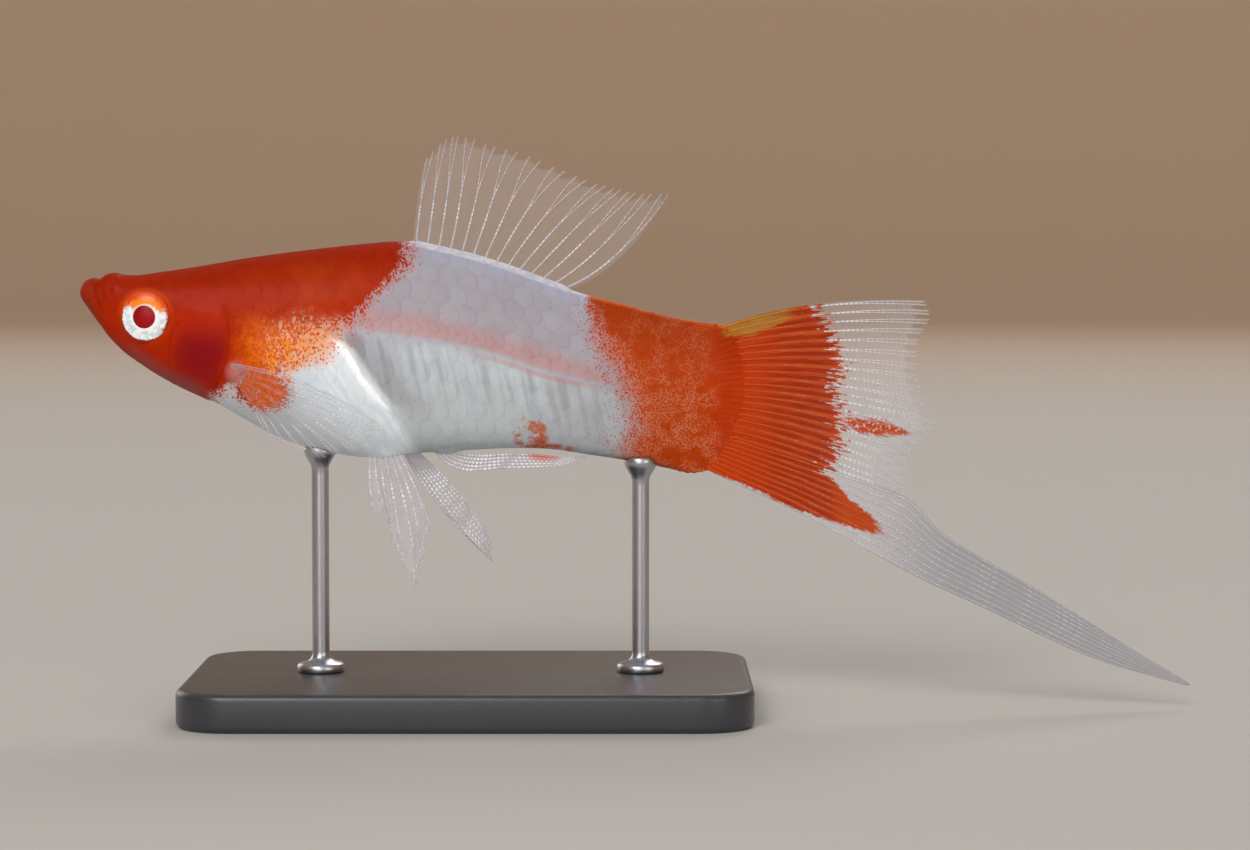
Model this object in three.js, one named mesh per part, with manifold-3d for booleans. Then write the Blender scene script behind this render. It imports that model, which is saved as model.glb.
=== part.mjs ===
// A male swordtail at life size, held still in a swimming pose on a small display stand.
// Sizes are in millimetres. The fish looks towards -X and its left side faces -Y. Its own heights are
// measured from the middle line of its body, which the stand holds SWIM_HEIGHT above the floor.
import * as THREE from 'three';
import { mergeVertices } from 'three/addons/utils/BufferGeometryUtils.js';
import Module from 'manifold-3d';

const wasm = await Module();
wasm.setup();

const GAP = 0.3;
const SWIM_HEIGHT = 31;
const OUTSIDE = 60;

// The body, section by section from the snout to the root of the tail fin. A row holds the place along
// the body, the heights of the back and of the belly, half the width, the share of the height where
// the section is widest, and how square its upper and lower halves are, where 2 is an ellipse.
const BODY = [
  [-36.0, 7.8, 7.8, 0.0, 0.5, 2.2, 2.0],
  [-35.75, 8.5, 7.05, 1.0, 0.5, 2.2, 2.0],
  [-35.3, 8.9, 6.4, 1.4, 0.5, 2.2, 2.0],
  [-34.65, 9.05, 5.45, 1.7, 0.5, 2.3, 2.0],
  [-34.0, 9.1, 4.55, 1.9, 0.5, 2.4, 1.95],
  [-33.35, 9.45, 3.65, 2.1, 0.5, 2.5, 1.9],
  [-32.6, 9.55, 2.85, 2.3, 0.51, 2.6, 1.85],
  [-31.8, 9.35, 2.1, 2.55, 0.52, 2.6, 1.8],
  [-30.4, 9.35, 1.1, 2.95, 0.52, 2.6, 1.8],
  [-28.7, 9.6, 0.0, 3.3, 0.52, 2.5, 1.8],
  [-26.4, 9.9, -1.2, 3.7, 0.52, 2.4, 1.85],
  [-23.6, 10.35, -2.4, 4.05, 0.53, 2.25, 1.9],
  [-20.4, 10.9, -4.2, 4.3, 0.53, 2.1, 2.0],
  [-17.1, 11.35, -5.9, 4.5, 0.53, 2.0, 2.1],
  [-13.4, 11.8, -6.95, 4.6, 0.52, 2.0, 2.2],
  [-9.6, 12.2, -7.5, 4.5, 0.52, 2.0, 2.2],
  [-6.2, 12.4, -7.2, 4.3, 0.52, 2.0, 2.15],
  [-3.0, 11.8, -7.0, 4.05, 0.52, 1.95, 2.1],
  [0.5, 10.95, -6.8, 3.75, 0.51, 1.95, 2.0],
  [4.0, 9.85, -6.65, 3.35, 0.5, 1.95, 2.0],
  [7.5, 8.55, -6.75, 2.95, 0.5, 1.95, 2.0],
  [11.0, 7.45, -7.25, 2.55, 0.5, 1.95, 2.0],
  [15.0, 6.5, -7.85, 2.1, 0.5, 2.0, 2.0],
  [19.0, 5.5, -8.45, 1.65, 0.5, 2.0, 2.0],
  [22.5, 4.85, -8.95, 1.2, 0.5, 2.0, 2.0],
  [25.5, 4.45, -8.5, 0.8, 0.5, 2.0, 2.0],
];
const RINGS_PER_SECTION = 2;
const AROUND = 32;

// Where the body is parted: along the free edge of the gill cover, just behind the vent, and on the
// round end of the tail stalk, where the rays of the tail fin begin.
const GILL_EDGE = [
  [-22.8, 13], [-22.3, 7], [-21.9, 4.3], [-22.05, 2.4], [-22.6, 0.6], [-23.5, -1.1], [-24.6, -4],
];
const GILL_COVER = {
  front: -27.6, rear: -22, top: 5.6, foot: -2.2, fadeAbove: 1.6, fadeBelow: 1.2, rise: 0.28,
};
const VENT_LINE = [[11.0, 10], [8.4, -10]];
const TAIL_ARC = { x: 14.2, z: -0.65, radius: 10.55, top: 30.3, split: -28.4, foot: -47.6 };

const EYE = {
  x: -29.95, z: 5.55, out: 2.6, radius: 2.2, bulge: 0.85, depth: 1.5, pupil: 1.03, dome: 0.1, turn: 8,
};
const EYE_RIM = { radius: 2.55, thickness: 0.26, overlap: 5 };
const NOSTRIL = { x: -32.9, z: 8.0, radius: 0.3 };

// The mouth opens upwards: its slit runs from above the snout down behind the lower jaw, right across.
const MOUTH_SLIT = [[-34.0, 9.6], [-34.3, 8.9], [-34.45, 8.1], [-34.35, 7.3], [-34.0, 6.5]];
const MOUTH_OPEN = 0.26;
const LIP = {
  path: [[-34.0, 6.6], [-34.35, 7.3], [-34.42, 8.15]], top: -34.25, apart: 0.38, radius: 0.36, inset: 0.2,
};
const CHEEK_LINE = { path: [[-26.7, 4.9], [-27.4, 2.6], [-27.5, 0.7], [-27.0, -0.7]], radius: 0.14 };
const CORD_STEP = 0.6;

// Fins are thin webs that swell at the root and thin out at their edges, as half thicknesses. Each
// ray rises out of both faces of the web between two flanks, set apart by a share of the ray spacing,
// and the web falls short of the ray tips by a share of their length.
const WEB = { root: 0.36, middle: 0.26, edge: 0.13, swellEnd: 0.25, thinFrom: 0.8 };
const RAY = { rootRise: 0.18, tipRise: 0.07, flank: 0.3, notch: 0.035 };

const DORSAL = { front: -5.25, rear: 8.9, rays: 14, rows: 8, sway: 0.7, waves: 5 };
const CAUDAL = { rays: 20, rows: 7, sway: 0.8, waves: 4, phase: 0.6 };
const SWORD = { rays: 6, rows: 16, sway: 0.5, point: 0.04 };
const PECTORAL = { rays: 12, rows: 7, splay: 18 };
const PELVIC = { rays: 6, rows: 7, apart: 0.85 };
const GONOPODIUM = { rays: 4, rows: 11, root: 0.4, tip: 0.2 };

const BASE = { length: 52, width: 32, thickness: 3.5, corner: 5, bevel: 0.6 };
const ROD = { radius: 0.8, foot: 2.2, footHeight: 1.2, cup: 1.5, cupHeight: 1.4, cupRise: 1.2, sides: 20 };
const ROD_PLACES = { stand_rod_front: -13.9, stand_rod_rear: 15.8 };

function finish(color, roughness, metalness = 0) {
  return new THREE.MeshStandardMaterial({ color, roughness, metalness });
}

const orangeSkin = finish(0xb32b12, 0.35);
const paleSkin = finish(0xd9d6da, 0.35);
const web = finish(0xdcd8d2, 0.4);
const orangeWeb = finish(0xc8481a, 0.4);
const eyeFinish = finish(0xd8dde0, 0.15, 0.4);
const baseFinish = finish(0x2b2c2e, 0.5);
const rodFinish = finish(0xb8babd, 0.3, 1);

const mix = THREE.MathUtils.lerp;
const rad = THREE.MathUtils.degToRad;
const power = (value, exponent) => Math.sign(value) * Math.abs(value) ** exponent;

// A number read from a list at a share of its length, straight between its entries.
function along(list, share) {
  const place = THREE.MathUtils.clamp(share, 0, 1) * (list.length - 1);
  const first = Math.min(Math.floor(place), list.length - 2);
  return mix(list[first], list[first + 1], place - first);
}

// A smooth line through points in the fish's side view.
function sideCurve(points) {
  const path = new THREE.CatmullRomCurve3(points.map(([x, z]) => new THREE.Vector3(x, 0, z)));
  return (share) => {
    const point = path.getPoint(share);
    return [point.x, point.z];
  };
}

function arcPoint(degrees, radius = TAIL_ARC.radius) {
  const angle = rad(degrees);
  return [TAIL_ARC.x + radius * Math.cos(angle), TAIL_ARC.z + radius * Math.sin(angle)];
}

// The body section at a place between the rows of BODY. Before the snout the rows are mirrored, so
// that the snout is round.
function section(place) {
  const row = (index) => {
    if (index < 0) {
      const [x, top, bottom, half, ...rest] = BODY[-index];
      return [x, bottom, top, -half, ...rest];
    }
    return BODY[Math.min(index, BODY.length - 1)];
  };
  const first = Math.min(Math.floor(place), BODY.length - 2);
  const t = place - first;
  const rows = [row(first - 1), row(first), row(first + 1), row(first + 2)];
  const weights = [
    0.5 * t * (-1 + t * (2 - t)),
    0.5 * (2 + t * t * (3 * t - 5)),
    0.5 * t * (1 + t * (4 - 3 * t)),
    0.5 * t * t * (t - 1),
  ];
  const column = (index) => weights.reduce((sum, weight, k) => sum + weight * rows[k][index], 0);
  const [x, top, bottom, half, share, upper, lower] = BODY[0].map((_, index) => column(index));
  return { x, top, bottom, half, wide: mix(bottom, top, share), upper, lower };
}

function sectionAt(x) {
  let low = 0;
  let high = BODY.length - 1;
  for (let step = 0; step < 40; step += 1) {
    const middle = (low + high) / 2;
    if (section(middle).x < x) low = middle;
    else high = middle;
  }
  return section(low);
}

const backAt = (x) => sectionAt(x).top;
const bellyAt = (x) => sectionAt(x).bottom;

// Half the body's width at a place along it and a height.
function sideAt(x, z) {
  const { top, bottom, half, wide, upper, lower } = sectionAt(x);
  const reach = z > wide ? top - wide : wide - bottom;
  const squareness = z > wide ? upper : lower;
  const share = Math.min(Math.abs(z - wide) / reach, 1);
  return half * (1 - share ** squareness) ** (1 / squareness);
}

// How far the gill cover stands out of the head's side.
function gillLift(x, z) {
  const { front, rear, top, foot, fadeAbove, fadeBelow, rise } = GILL_COVER;
  const back = THREE.MathUtils.smoothstep(x, front, rear);
  const above = 1 - THREE.MathUtils.smoothstep(z, top, top + fadeAbove);
  const below = THREE.MathUtils.smoothstep(z, foot - fadeBelow, foot);
  return rise * back * above * below;
}

function bodyGeometry(lift = () => 0) {
  const rings = (BODY.length - 1) * RINGS_PER_SECTION;
  const positions = [BODY[0][0], 0, BODY[0][1]];
  for (let ring = 1; ring <= rings; ring += 1) {
    const { x, top, bottom, half, wide, upper, lower } = section(ring / RINGS_PER_SECTION);
    for (let step = 0; step < AROUND; step += 1) {
      const angle = (2 * Math.PI * step) / AROUND;
      const rise = Math.sin(angle);
      const squareness = 2 / (rise >= 0 ? upper : lower);
      const z = wide + (rise >= 0 ? top - wide : wide - bottom) * power(rise, squareness);
      const across = power(Math.cos(angle), squareness);
      positions.push(x, half * across + lift(x, z) * across, z);
    }
  }
  positions.push(BODY.at(-1)[0], 0, section(BODY.length - 1).wide);
  const last = positions.length / 3 - 1;
  const vertex = (ring, step) => 1 + (ring - 1) * AROUND + (step % AROUND);
  const faces = [];
  for (let step = 0; step < AROUND; step += 1) {
    faces.push(0, vertex(1, step + 1), vertex(1, step));
    faces.push(last, vertex(rings, step), vertex(rings, step + 1));
    for (let ring = 1; ring < rings; ring += 1) {
      const [a, b] = [vertex(ring, step), vertex(ring, step + 1)];
      const [c, d] = [vertex(ring + 1, step), vertex(ring + 1, step + 1)];
      faces.push(a, b, d, a, d, c);
    }
  }
  return indexed(positions, faces);
}

function indexed(positions, faces) {
  const geometry = new THREE.BufferGeometry();
  geometry.setAttribute('position', new THREE.Float32BufferAttribute(positions, 3));
  geometry.setIndex(faces);
  return geometry;
}

// A closed sheet whose two faces are split alike. place(column, row) gives x, y and z of its middle and
// half its thickness there.
function sheet(columns, rows, place) {
  const positions = [];
  for (const side of [-1, 1]) {
    for (let column = 0; column < columns; column += 1) {
      for (let row = 0; row < rows; row += 1) {
        const { x, y, z, half } = place(column, row);
        positions.push(x, y + side * half, z);
      }
    }
  }
  const front = (column, row) => column * rows + row;
  const back = (column, row) => columns * rows + front(column, row);
  const faces = [];
  const wall = (start, end) => {
    const [a, b, c, d] = [front(...start), front(...end), back(...end), back(...start)];
    faces.push(a, b, c, a, c, d);
  };
  for (let column = 0; column < columns - 1; column += 1) {
    for (let row = 0; row < rows - 1; row += 1) {
      const corners = [[column, row], [column + 1, row], [column + 1, row + 1], [column, row + 1]];
      const [a, b, c, d] = corners.map((corner) => front(...corner));
      const [e, f, g, h] = corners.map((corner) => back(...corner));
      faces.push(a, b, c, a, c, d, e, g, f, e, h, g);
    }
    wall([column + 1, 0], [column, 0]);
    wall([column, rows - 1], [column + 1, rows - 1]);
  }
  for (let row = 0; row < rows - 1; row += 1) {
    wall([0, row], [0, row + 1]);
    wall([columns - 1, row + 1], [columns - 1, row]);
  }
  return indexed(positions, faces);
}

// Half a fin's thickness at a share of the way from its root to its edge.
function webHalf(t) {
  const swell = (WEB.root - WEB.middle) * (1 - THREE.MathUtils.smoothstep(t, 0, WEB.swellEnd));
  const thin = (WEB.middle - WEB.edge) * THREE.MathUtils.smoothstep(t, WEB.thinFrom, 1);
  return WEB.middle + swell - thin;
}

// A fin from a function of the share across its rays and the share along them. Three columns of points
// make each ray: a crest between two flanks.
function fin({ rays, rows }, at) {
  const width = rays - 1 + 2 * RAY.flank;
  return sheet(3 * rays, rows, (column, row) => {
    const beside = (column % 3) - 1;
    const across = (Math.floor(column / 3) + RAY.flank * (1 + beside)) / width;
    const t = row / (rows - 1);
    const point = at(across, beside === 0 ? t : t * (1 - RAY.notch));
    const rise = beside === 0 ? mix(RAY.rootRise, RAY.tipRise, t) : 0;
    return { ...point, half: point.half + rise };
  });
}

// The side view of a fan of rays. Each leaves the root at its own angle and bends to its tip.
function fan(root, tip, angles, bend = 0.45) {
  return (across, t) => {
    const [x0, z0] = root(across);
    const [x2, z2] = tip(across);
    const reach = bend * Math.hypot(x2 - x0, z2 - z0);
    const angle = rad(along(angles, across));
    const x1 = x0 + reach * Math.cos(angle);
    const z1 = z0 + reach * Math.sin(angle);
    const s = 1 - t;
    return [s * s * x0 + 2 * s * t * x1 + t * t * x2, s * s * z0 + 2 * s * t * z1 + t * t * z2];
  };
}

const dorsalTips = sideCurve([
  [-4.15, 19.9], [-2.3, 21.8], [-0.6, 22.15], [2.1, 21.35], [5.2, 20.5],
  [8.6, 19.1], [11.6, 17.9], [13.9, 17.3], [15.9, 16.9], [18.4, 16.95],
]);
const dorsalRoot = (across) => {
  const x = mix(DORSAL.front, DORSAL.rear, across);
  return [x, backAt(x) + GAP];
};
const dorsalFan = fan(dorsalRoot, dorsalTips, [86, 78, 70, 58, 44, 18]);

function dorsalFin() {
  return fin(DORSAL, (across, t) => {
    const [x, z] = dorsalFan(across, t);
    return { x, y: DORSAL.sway * t * t * Math.sin(DORSAL.waves * across), z, half: webHalf(t) };
  });
}

const caudalTips = sideCurve([
  [42.2, 6.95], [42.6, 5.3], [41.75, 3.5], [41.5, 1.3], [41.65, -0.8],
  [42.3, -3.0], [43.2, -4.7], [41.2, -6.5], [40.5, -8.3], [40.3, -10.1], [41.0, -11.4],
]);
const caudalRoot = (across) => arcPoint(mix(TAIL_ARC.top, TAIL_ARC.split, across), TAIL_ARC.radius + GAP);
const caudalFan = fan(caudalRoot, caudalTips, [20, 8, 0, -7, -15]);
const caudalSway = (across, t) => CAUDAL.sway * t * t * Math.sin(CAUDAL.phase + CAUDAL.waves * across);

function caudalFin() {
  return fin(CAUDAL, (across, t) => {
    const [x, z] = caudalFan(across, t);
    return { x, y: caudalSway(across, t), z, half: webHalf(t) };
  });
}

// The sword runs back from the lowest part of the tail arc between its upper and lower edges.
const swordUpper = sideCurve([
  arcPoint(TAIL_ARC.split - 1.8, TAIL_ARC.radius + GAP),
  [27.8, -7.25], [32.4, -8.75], [37.0, -10.6], [40.4, -12.2], [43.6, -14.6],
  [47.0, -16.6], [52.5, -19.75], [58.5, -23.5], [63.9, -26.95],
]);
const swordLower = sideCurve([
  arcPoint(TAIL_ARC.foot, TAIL_ARC.radius + GAP),
  [25.2, -10.3], [29.2, -12.1], [34.2, -14.75], [38.2, -16.95],
  [42.6, -19.2], [47.6, -21.5], [53.6, -24.4], [59.0, -26.7], [64.8, -28.35],
]);

function swordBlade() {
  return fin(SWORD, (across, t) => {
    const [lowX, lowZ] = swordLower(t);
    const [highX, highZ] = swordUpper(t);
    const point = 1 + SWORD.point * Math.sin(Math.PI * across) * t ** 6;
    const y = caudalSway(1, Math.min(2 * t, 1)) * (1 - t) + SWORD.sway * t * t;
    return { x: mix(highX, lowX, across) * point, y, z: mix(highZ, lowZ, across) * point, half: webHalf(t) };
  });
}

const pectoralTips = sideCurve([
  [-11.2, -2.0], [-8.6, -3.3], [-7.3, -4.6], [-8.4, -5.7], [-9.9, -6.5],
  [-12.4, -7.15], [-15.1, -6.9], [-17.5, -5.7], [-18.9, -4.3],
]);
const pectoralRoot = sideCurve([[-21.0, 1.3], [-20.75, 0.2], [-20.7, -0.85]]);
const pectoralFan = fan(pectoralRoot, pectoralTips, [-4, -14, -30, -52]);

function pectoralFin() {
  return fin(PECTORAL, (across, t) => {
    const [x, z] = pectoralFan(across, t);
    const [rootX, rootZ] = pectoralRoot(across);
    const half = webHalf(t);
    const y = -(sideAt(rootX, rootZ) + GAP + WEB.root) - Math.tan(rad(PECTORAL.splay)) * (x - rootX);
    return { x, y, z, half };
  });
}

// The two pelvic fins hang from the belly, the left one nearly straight down and the right one trailing.
const PELVIC_LEFT = {
  side: -1,
  from: -6.5,
  to: -9.3,
  tips: [
    [-3.4, -13.4], [-4.0, -15.7], [-4.5, -17.7], [-5.0, -19.45], [-6.5, -16.4], [-7.9, -12.9], [-8.7, -12.6],
  ],
  angles: [-58, -66, -82, -97],
  spread: 2.2,
};
const PELVIC_RIGHT = {
  side: 1,
  from: -5.2,
  to: -6.3,
  tips: [[1.3, -14.7], [1.95, -16.0], [1.7, -16.7], [2.0, -17.45], [0.4, -16.0]],
  angles: [-38, -50, -64],
  spread: 1.6,
};

function pelvicFin({ side, from, to, tips, angles, spread }) {
  const root = (across) => {
    const x = mix(from, to, across);
    return [x, bellyAt(x) - GAP];
  };
  const shape = fan(root, sideCurve(tips), angles);
  return fin(PELVIC, (across, t) => {
    const [x, z] = shape(across, t);
    return { x, y: side * (PELVIC.apart + spread * t), z, half: webHalf(t) };
  });
}

// The male's anal fin is a narrow rod of rays that lies back along the belly.
const gonopodiumLower = sideCurve([
  [-3.05, -7.4], [-2.3, -8.2], [-0.3, -8.8], [2.6, -8.6], [5.6, -8.5], [8.3, -8.3], [10.75, -7.75],
]);
const gonopodiumUpper = sideCurve([
  [-1.6, -7.25], [-0.6, -7.3], [1.2, -7.3], [3.6, -7.2], [6.0, -7.25], [8.4, -7.5], [10.7, -7.45],
]);

function gonopodium() {
  return fin(GONOPODIUM, (across, t) => {
    const [lowX, lowZ] = gonopodiumLower(t);
    const [highX, highZ] = gonopodiumUpper(t);
    const half = mix(GONOPODIUM.root, GONOPODIUM.tip, t ** 3);
    return { x: mix(highX, lowX, across), y: 0, z: mix(highZ, lowZ, across), half };
  });
}

function welded(geometry) {
  const bare = geometry.clone();
  bare.deleteAttribute('normal');
  bare.deleteAttribute('uv');
  return mergeVertices(bare, 1e-4);
}

function toSolid(geometry) {
  const closed = welded(geometry);
  const vertProperties = new Float32Array(closed.attributes.position.array);
  const triVerts = new Uint32Array(closed.index.array);
  return new wasm.Manifold(new wasm.Mesh({ numProp: 3, vertProperties, triVerts }));
}

// The largest closed surface of a solid, as a geometry.
function toGeometry(solid) {
  const pieces = solid.decompose().sort((a, b) => b.volume() - a.volume());
  const { vertProperties, triVerts } = pieces[0].getMesh();
  return indexed(Array.from(vertProperties), Array.from(triVerts));
}

// All that lies ahead of a line in the side view, as a prism right through the body.
function ahead(line, shift = 0) {
  const shape = new THREE.Shape();
  shape.moveTo(-OUTSIDE, line.at(-1)[1]);
  shape.lineTo(-OUTSIDE, line[0][1]);
  line.forEach(([x, z]) => shape.lineTo(x + shift, z));
  const prism = new THREE.ExtrudeGeometry(shape, { depth: 2 * OUTSIDE, bevelEnabled: false });
  return toSolid(prism.rotateX(Math.PI / 2).translate(0, OUTSIDE, 0));
}

// A round ridge or cutter of even thickness along a smooth path.
function cordAlong(points, radius) {
  const sides = Array.from({ length: 6 }, (_, k) => {
    const angle = (Math.PI * k) / 3;
    return new THREE.Vector2(radius * Math.cos(angle), radius * Math.sin(angle));
  });
  const extrudePath = new THREE.CatmullRomCurve3(points);
  const steps = Math.ceil(extrudePath.getLength() / CORD_STEP);
  return toSolid(new THREE.ExtrudeGeometry(new THREE.Shape(sides), { steps, extrudePath }));
}

function onSide(x, z, side, inset = 0) {
  return new THREE.Vector3(x, side * (sideAt(x, z) - inset), z);
}

// A lip rolls up one side of the snout, over its top and down the other side, next to the slit.
function lip(shift) {
  const { path, top, radius, inset } = LIP;
  const left = path.map(([x, z]) => onSide(x + shift, z, -1, inset));
  const right = path.map(([x, z]) => onSide(x + shift, z, 1, inset)).reverse();
  const crown = new THREE.Vector3(top + shift, 0, backAt(top + shift) - inset);
  return cordAlong([...left, crown, ...right], radius);
}

function mouthSlit() {
  const shape = new THREE.Shape();
  const half = MOUTH_OPEN / 2;
  MOUTH_SLIT.forEach(([x, z], k) => (k ? shape.lineTo(x - half, z) : shape.moveTo(x - half, z)));
  [...MOUTH_SLIT].reverse().forEach(([x, z]) => shape.lineTo(x + half, z));
  const slit = new THREE.ExtrudeGeometry(shape, { depth: 2 * OUTSIDE, bevelEnabled: false });
  return toSolid(slit.rotateX(Math.PI / 2).translate(0, OUTSIDE, 0));
}

function eyeGeometry(grow = 0) {
  const profile = [];
  const steps = 10;
  for (let step = 0; step <= steps; step += 1) {
    const angle = mix(-Math.PI / 2, Math.PI / 2, step / steps);
    const out = (angle < 0 ? EYE.depth : EYE.bulge) + grow;
    const radius = step % steps === 0 ? 0 : (EYE.radius + grow) * Math.cos(angle);
    const dome = radius < EYE.pupil && angle > 0 ? EYE.dome : 0;
    profile.push(new THREE.Vector2(radius, out * Math.sin(angle) + dome));
  }
  return new THREE.LatheGeometry(profile, 24);
}

function placedEye(side) {
  const turn = side > 0 ? rad(EYE.turn) : Math.PI - rad(EYE.turn);
  return new THREE.Matrix4().makeRotationZ(turn).setPosition(EYE.x, side * EYE.out, EYE.z);
}

function eyeRim(side) {
  const { radius, thickness, overlap } = EYE_RIM;
  const halfRing = (start) => cordAlong(Array.from({ length: 13 }, (_, k) => {
    const angle = rad(mix(start - overlap, start + 180 + overlap, k / 12));
    return onSide(EYE.x + radius * Math.cos(angle), EYE.z + radius * Math.sin(angle), side);
  }), thickness);
  return halfRing(0).add(halfRing(180));
}

const gillEdge = Array.from({ length: 17 }, (_, k) => sideCurve(GILL_EDGE)(k / 16));
const tailEnd = Array.from({ length: 19 }, (_, k) => arcPoint(mix(75, -75, k / 18)));

function head() {
  let solid = toSolid(bodyGeometry(gillLift)).intersect(ahead(gillEdge));
  solid = solid.add(lip(-LIP.apart)).add(lip(LIP.apart)).subtract(mouthSlit());
  for (const side of [-1, 1]) {
    const cheekLine = CHEEK_LINE.path.map(([x, z]) => onSide(x, z, side, -gillLift(x, z)));
    solid = solid.subtract(cordAlong(cheekLine, CHEEK_LINE.radius));
    solid = solid.add(eyeRim(side));
    solid = solid.subtract(toSolid(eyeGeometry(GAP).applyMatrix4(placedEye(side))));
    const nostril = new THREE.SphereGeometry(NOSTRIL.radius, 10, 8);
    const { x, y, z } = onSide(NOSTRIL.x, NOSTRIL.z, side);
    solid = solid.subtract(toSolid(nostril.translate(x, y, z)));
  }
  return toGeometry(solid);
}

function trunk() {
  return toGeometry(toSolid(bodyGeometry()).subtract(ahead(gillEdge, GAP)).intersect(ahead(VENT_LINE)));
}

function tailStalk() {
  return toGeometry(toSolid(bodyGeometry()).subtract(ahead(VENT_LINE, GAP)).intersect(ahead(tailEnd)));
}

function mirrored(geometry) {
  const copy = geometry.clone().scale(1, -1, 1);
  const faces = Array.from(copy.index.array);
  for (let k = 0; k < faces.length; k += 3) [faces[k + 1], faces[k + 2]] = [faces[k + 2], faces[k + 1]];
  copy.setIndex(faces);
  return copy;
}

function standBase() {
  const { length, width, thickness, corner, bevel } = BASE;
  const [x, y] = [length / 2 - bevel, width / 2 - bevel];
  const shape = new THREE.Shape();
  shape.absarc(x - corner, y - corner, corner, 0, Math.PI / 2);
  shape.absarc(corner - x, y - corner, corner, Math.PI / 2, Math.PI);
  shape.absarc(corner - x, corner - y, corner, Math.PI, 1.5 * Math.PI);
  shape.absarc(x - corner, corner - y, corner, 1.5 * Math.PI, 2 * Math.PI);
  const plate = new THREE.ExtrudeGeometry(shape, {
    depth: thickness - 2 * bevel,
    bevelSize: bevel,
    bevelThickness: bevel,
    bevelSegments: 1,
    curveSegments: 4,
  });
  return plate.translate(0, 0, bevel);
}

// A rod stands on the base on a small foot and ends in a cup that follows the belly.
function standRod(x) {
  const { radius, foot, footHeight, cup, cupHeight, cupRise, sides } = ROD;
  const low = BASE.thickness + GAP;
  const belly = SWIM_HEIGHT + bellyAt(x);
  const profile = [
    [0, low], [foot, low], [foot, low + footHeight * 0.5], [radius, low + footHeight],
    [radius, belly - cupHeight], [cup, belly], [cup, belly + cupRise], [0, belly + cupRise],
  ];
  const lathe = new THREE.LatheGeometry(profile.map((point) => new THREE.Vector2(...point)), sides);
  const rod = toSolid(lathe.rotateX(Math.PI / 2).translate(x, 0, 0));
  return toGeometry(rod.subtract(toSolid(bodyGeometry().translate(0, 0, SWIM_HEIGHT - GAP))));
}

function named(name, geometry, material) {
  const mesh = new THREE.Mesh(geometry, material);
  mesh.name = name;
  geometry.computeVertexNormals();
  return mesh;
}

const fish = new THREE.Group();
fish.position.z = SWIM_HEIGHT;
fish.add(
  named('head', head(), orangeSkin),
  named('trunk', trunk(), paleSkin),
  named('tail_stalk', tailStalk(), orangeSkin),
  named('dorsal_fin', dorsalFin(), web),
  named('caudal_fin', caudalFin(), orangeWeb),
  named('sword', swordBlade(), web),
  named('gonopodium', gonopodium(), web),
  named('pectoral_fin_left', pectoralFin(), web),
  named('pectoral_fin_right', mirrored(pectoralFin()), web),
  named('pelvic_fin_left', pelvicFin(PELVIC_LEFT), web),
  named('pelvic_fin_right', pelvicFin(PELVIC_RIGHT), web),
);
for (const [name, side] of [['eye_left', -1], ['eye_right', 1]]) {
  const eye = named(name, welded(eyeGeometry()), eyeFinish);
  eye.applyMatrix4(placedEye(side));
  fish.add(eye);
}

const group = new THREE.Group();
group.add(fish, named('stand_base', welded(standBase()), baseFinish));
for (const [name, x] of Object.entries(ROD_PLACES)) {
  group.add(named(name, standRod(x), rodFinish));
}

export default group;
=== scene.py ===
"""A male swordtail on its display stand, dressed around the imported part: one skin under a coat of scales,
fins of clear web with branched rays, layered eyes, a lacquered base and two steel rods.

Places and sizes are in millimetres in the fish's own frame, where it looks towards -X, its left side faces
-Y and heights are measured from the middle line of its body. A mesh is turned to metres as it is finished.
"""

import math

import bmesh
import bpy
import numpy as np
from bpy.props import FloatProperty, FloatVectorProperty, IntProperty, PointerProperty
from mathutils import Matrix, Vector


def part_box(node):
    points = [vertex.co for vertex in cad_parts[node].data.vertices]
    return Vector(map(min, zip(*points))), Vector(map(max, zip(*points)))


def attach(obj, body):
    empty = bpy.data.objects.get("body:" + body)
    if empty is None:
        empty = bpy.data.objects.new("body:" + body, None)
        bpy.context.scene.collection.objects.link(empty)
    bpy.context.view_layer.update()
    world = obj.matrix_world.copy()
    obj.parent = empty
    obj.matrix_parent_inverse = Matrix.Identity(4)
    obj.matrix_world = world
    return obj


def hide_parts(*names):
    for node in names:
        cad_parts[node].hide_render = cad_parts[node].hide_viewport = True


bl_info = {
    "name": "Swordtail on a display stand",
    "version": (1, 0, 0),
    "blender": (4, 5, 0),
    "location": "View3D > Sidebar > Swordtail",
    "description": "Builds the skin, scales, fins, eyes and stand of a life-size male swordtail",
    "category": "Object",
}

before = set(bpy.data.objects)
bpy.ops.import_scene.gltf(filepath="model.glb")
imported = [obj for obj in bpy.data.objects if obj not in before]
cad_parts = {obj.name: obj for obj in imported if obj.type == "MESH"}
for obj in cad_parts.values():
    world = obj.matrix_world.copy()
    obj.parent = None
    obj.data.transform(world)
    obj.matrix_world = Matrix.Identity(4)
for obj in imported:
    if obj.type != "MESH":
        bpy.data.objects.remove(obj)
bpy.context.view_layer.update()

MM = 0.001

# The eyes: where they sit, their radius and the pupil's, how many degrees they turn forwards, and in how many
# steps their layers are turned. LEVEL is the height of the fish's frame over the underside of the base.
EYE = {"x": -29.57, "z": 5.55, "out": 2.6, "radius": 2.2, "pupil": 1.04, "turn": 8, "steps": 72}
LEVEL = sum(corner.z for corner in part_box("eye_left")) / 2 / MM - EYE["z"]

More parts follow.
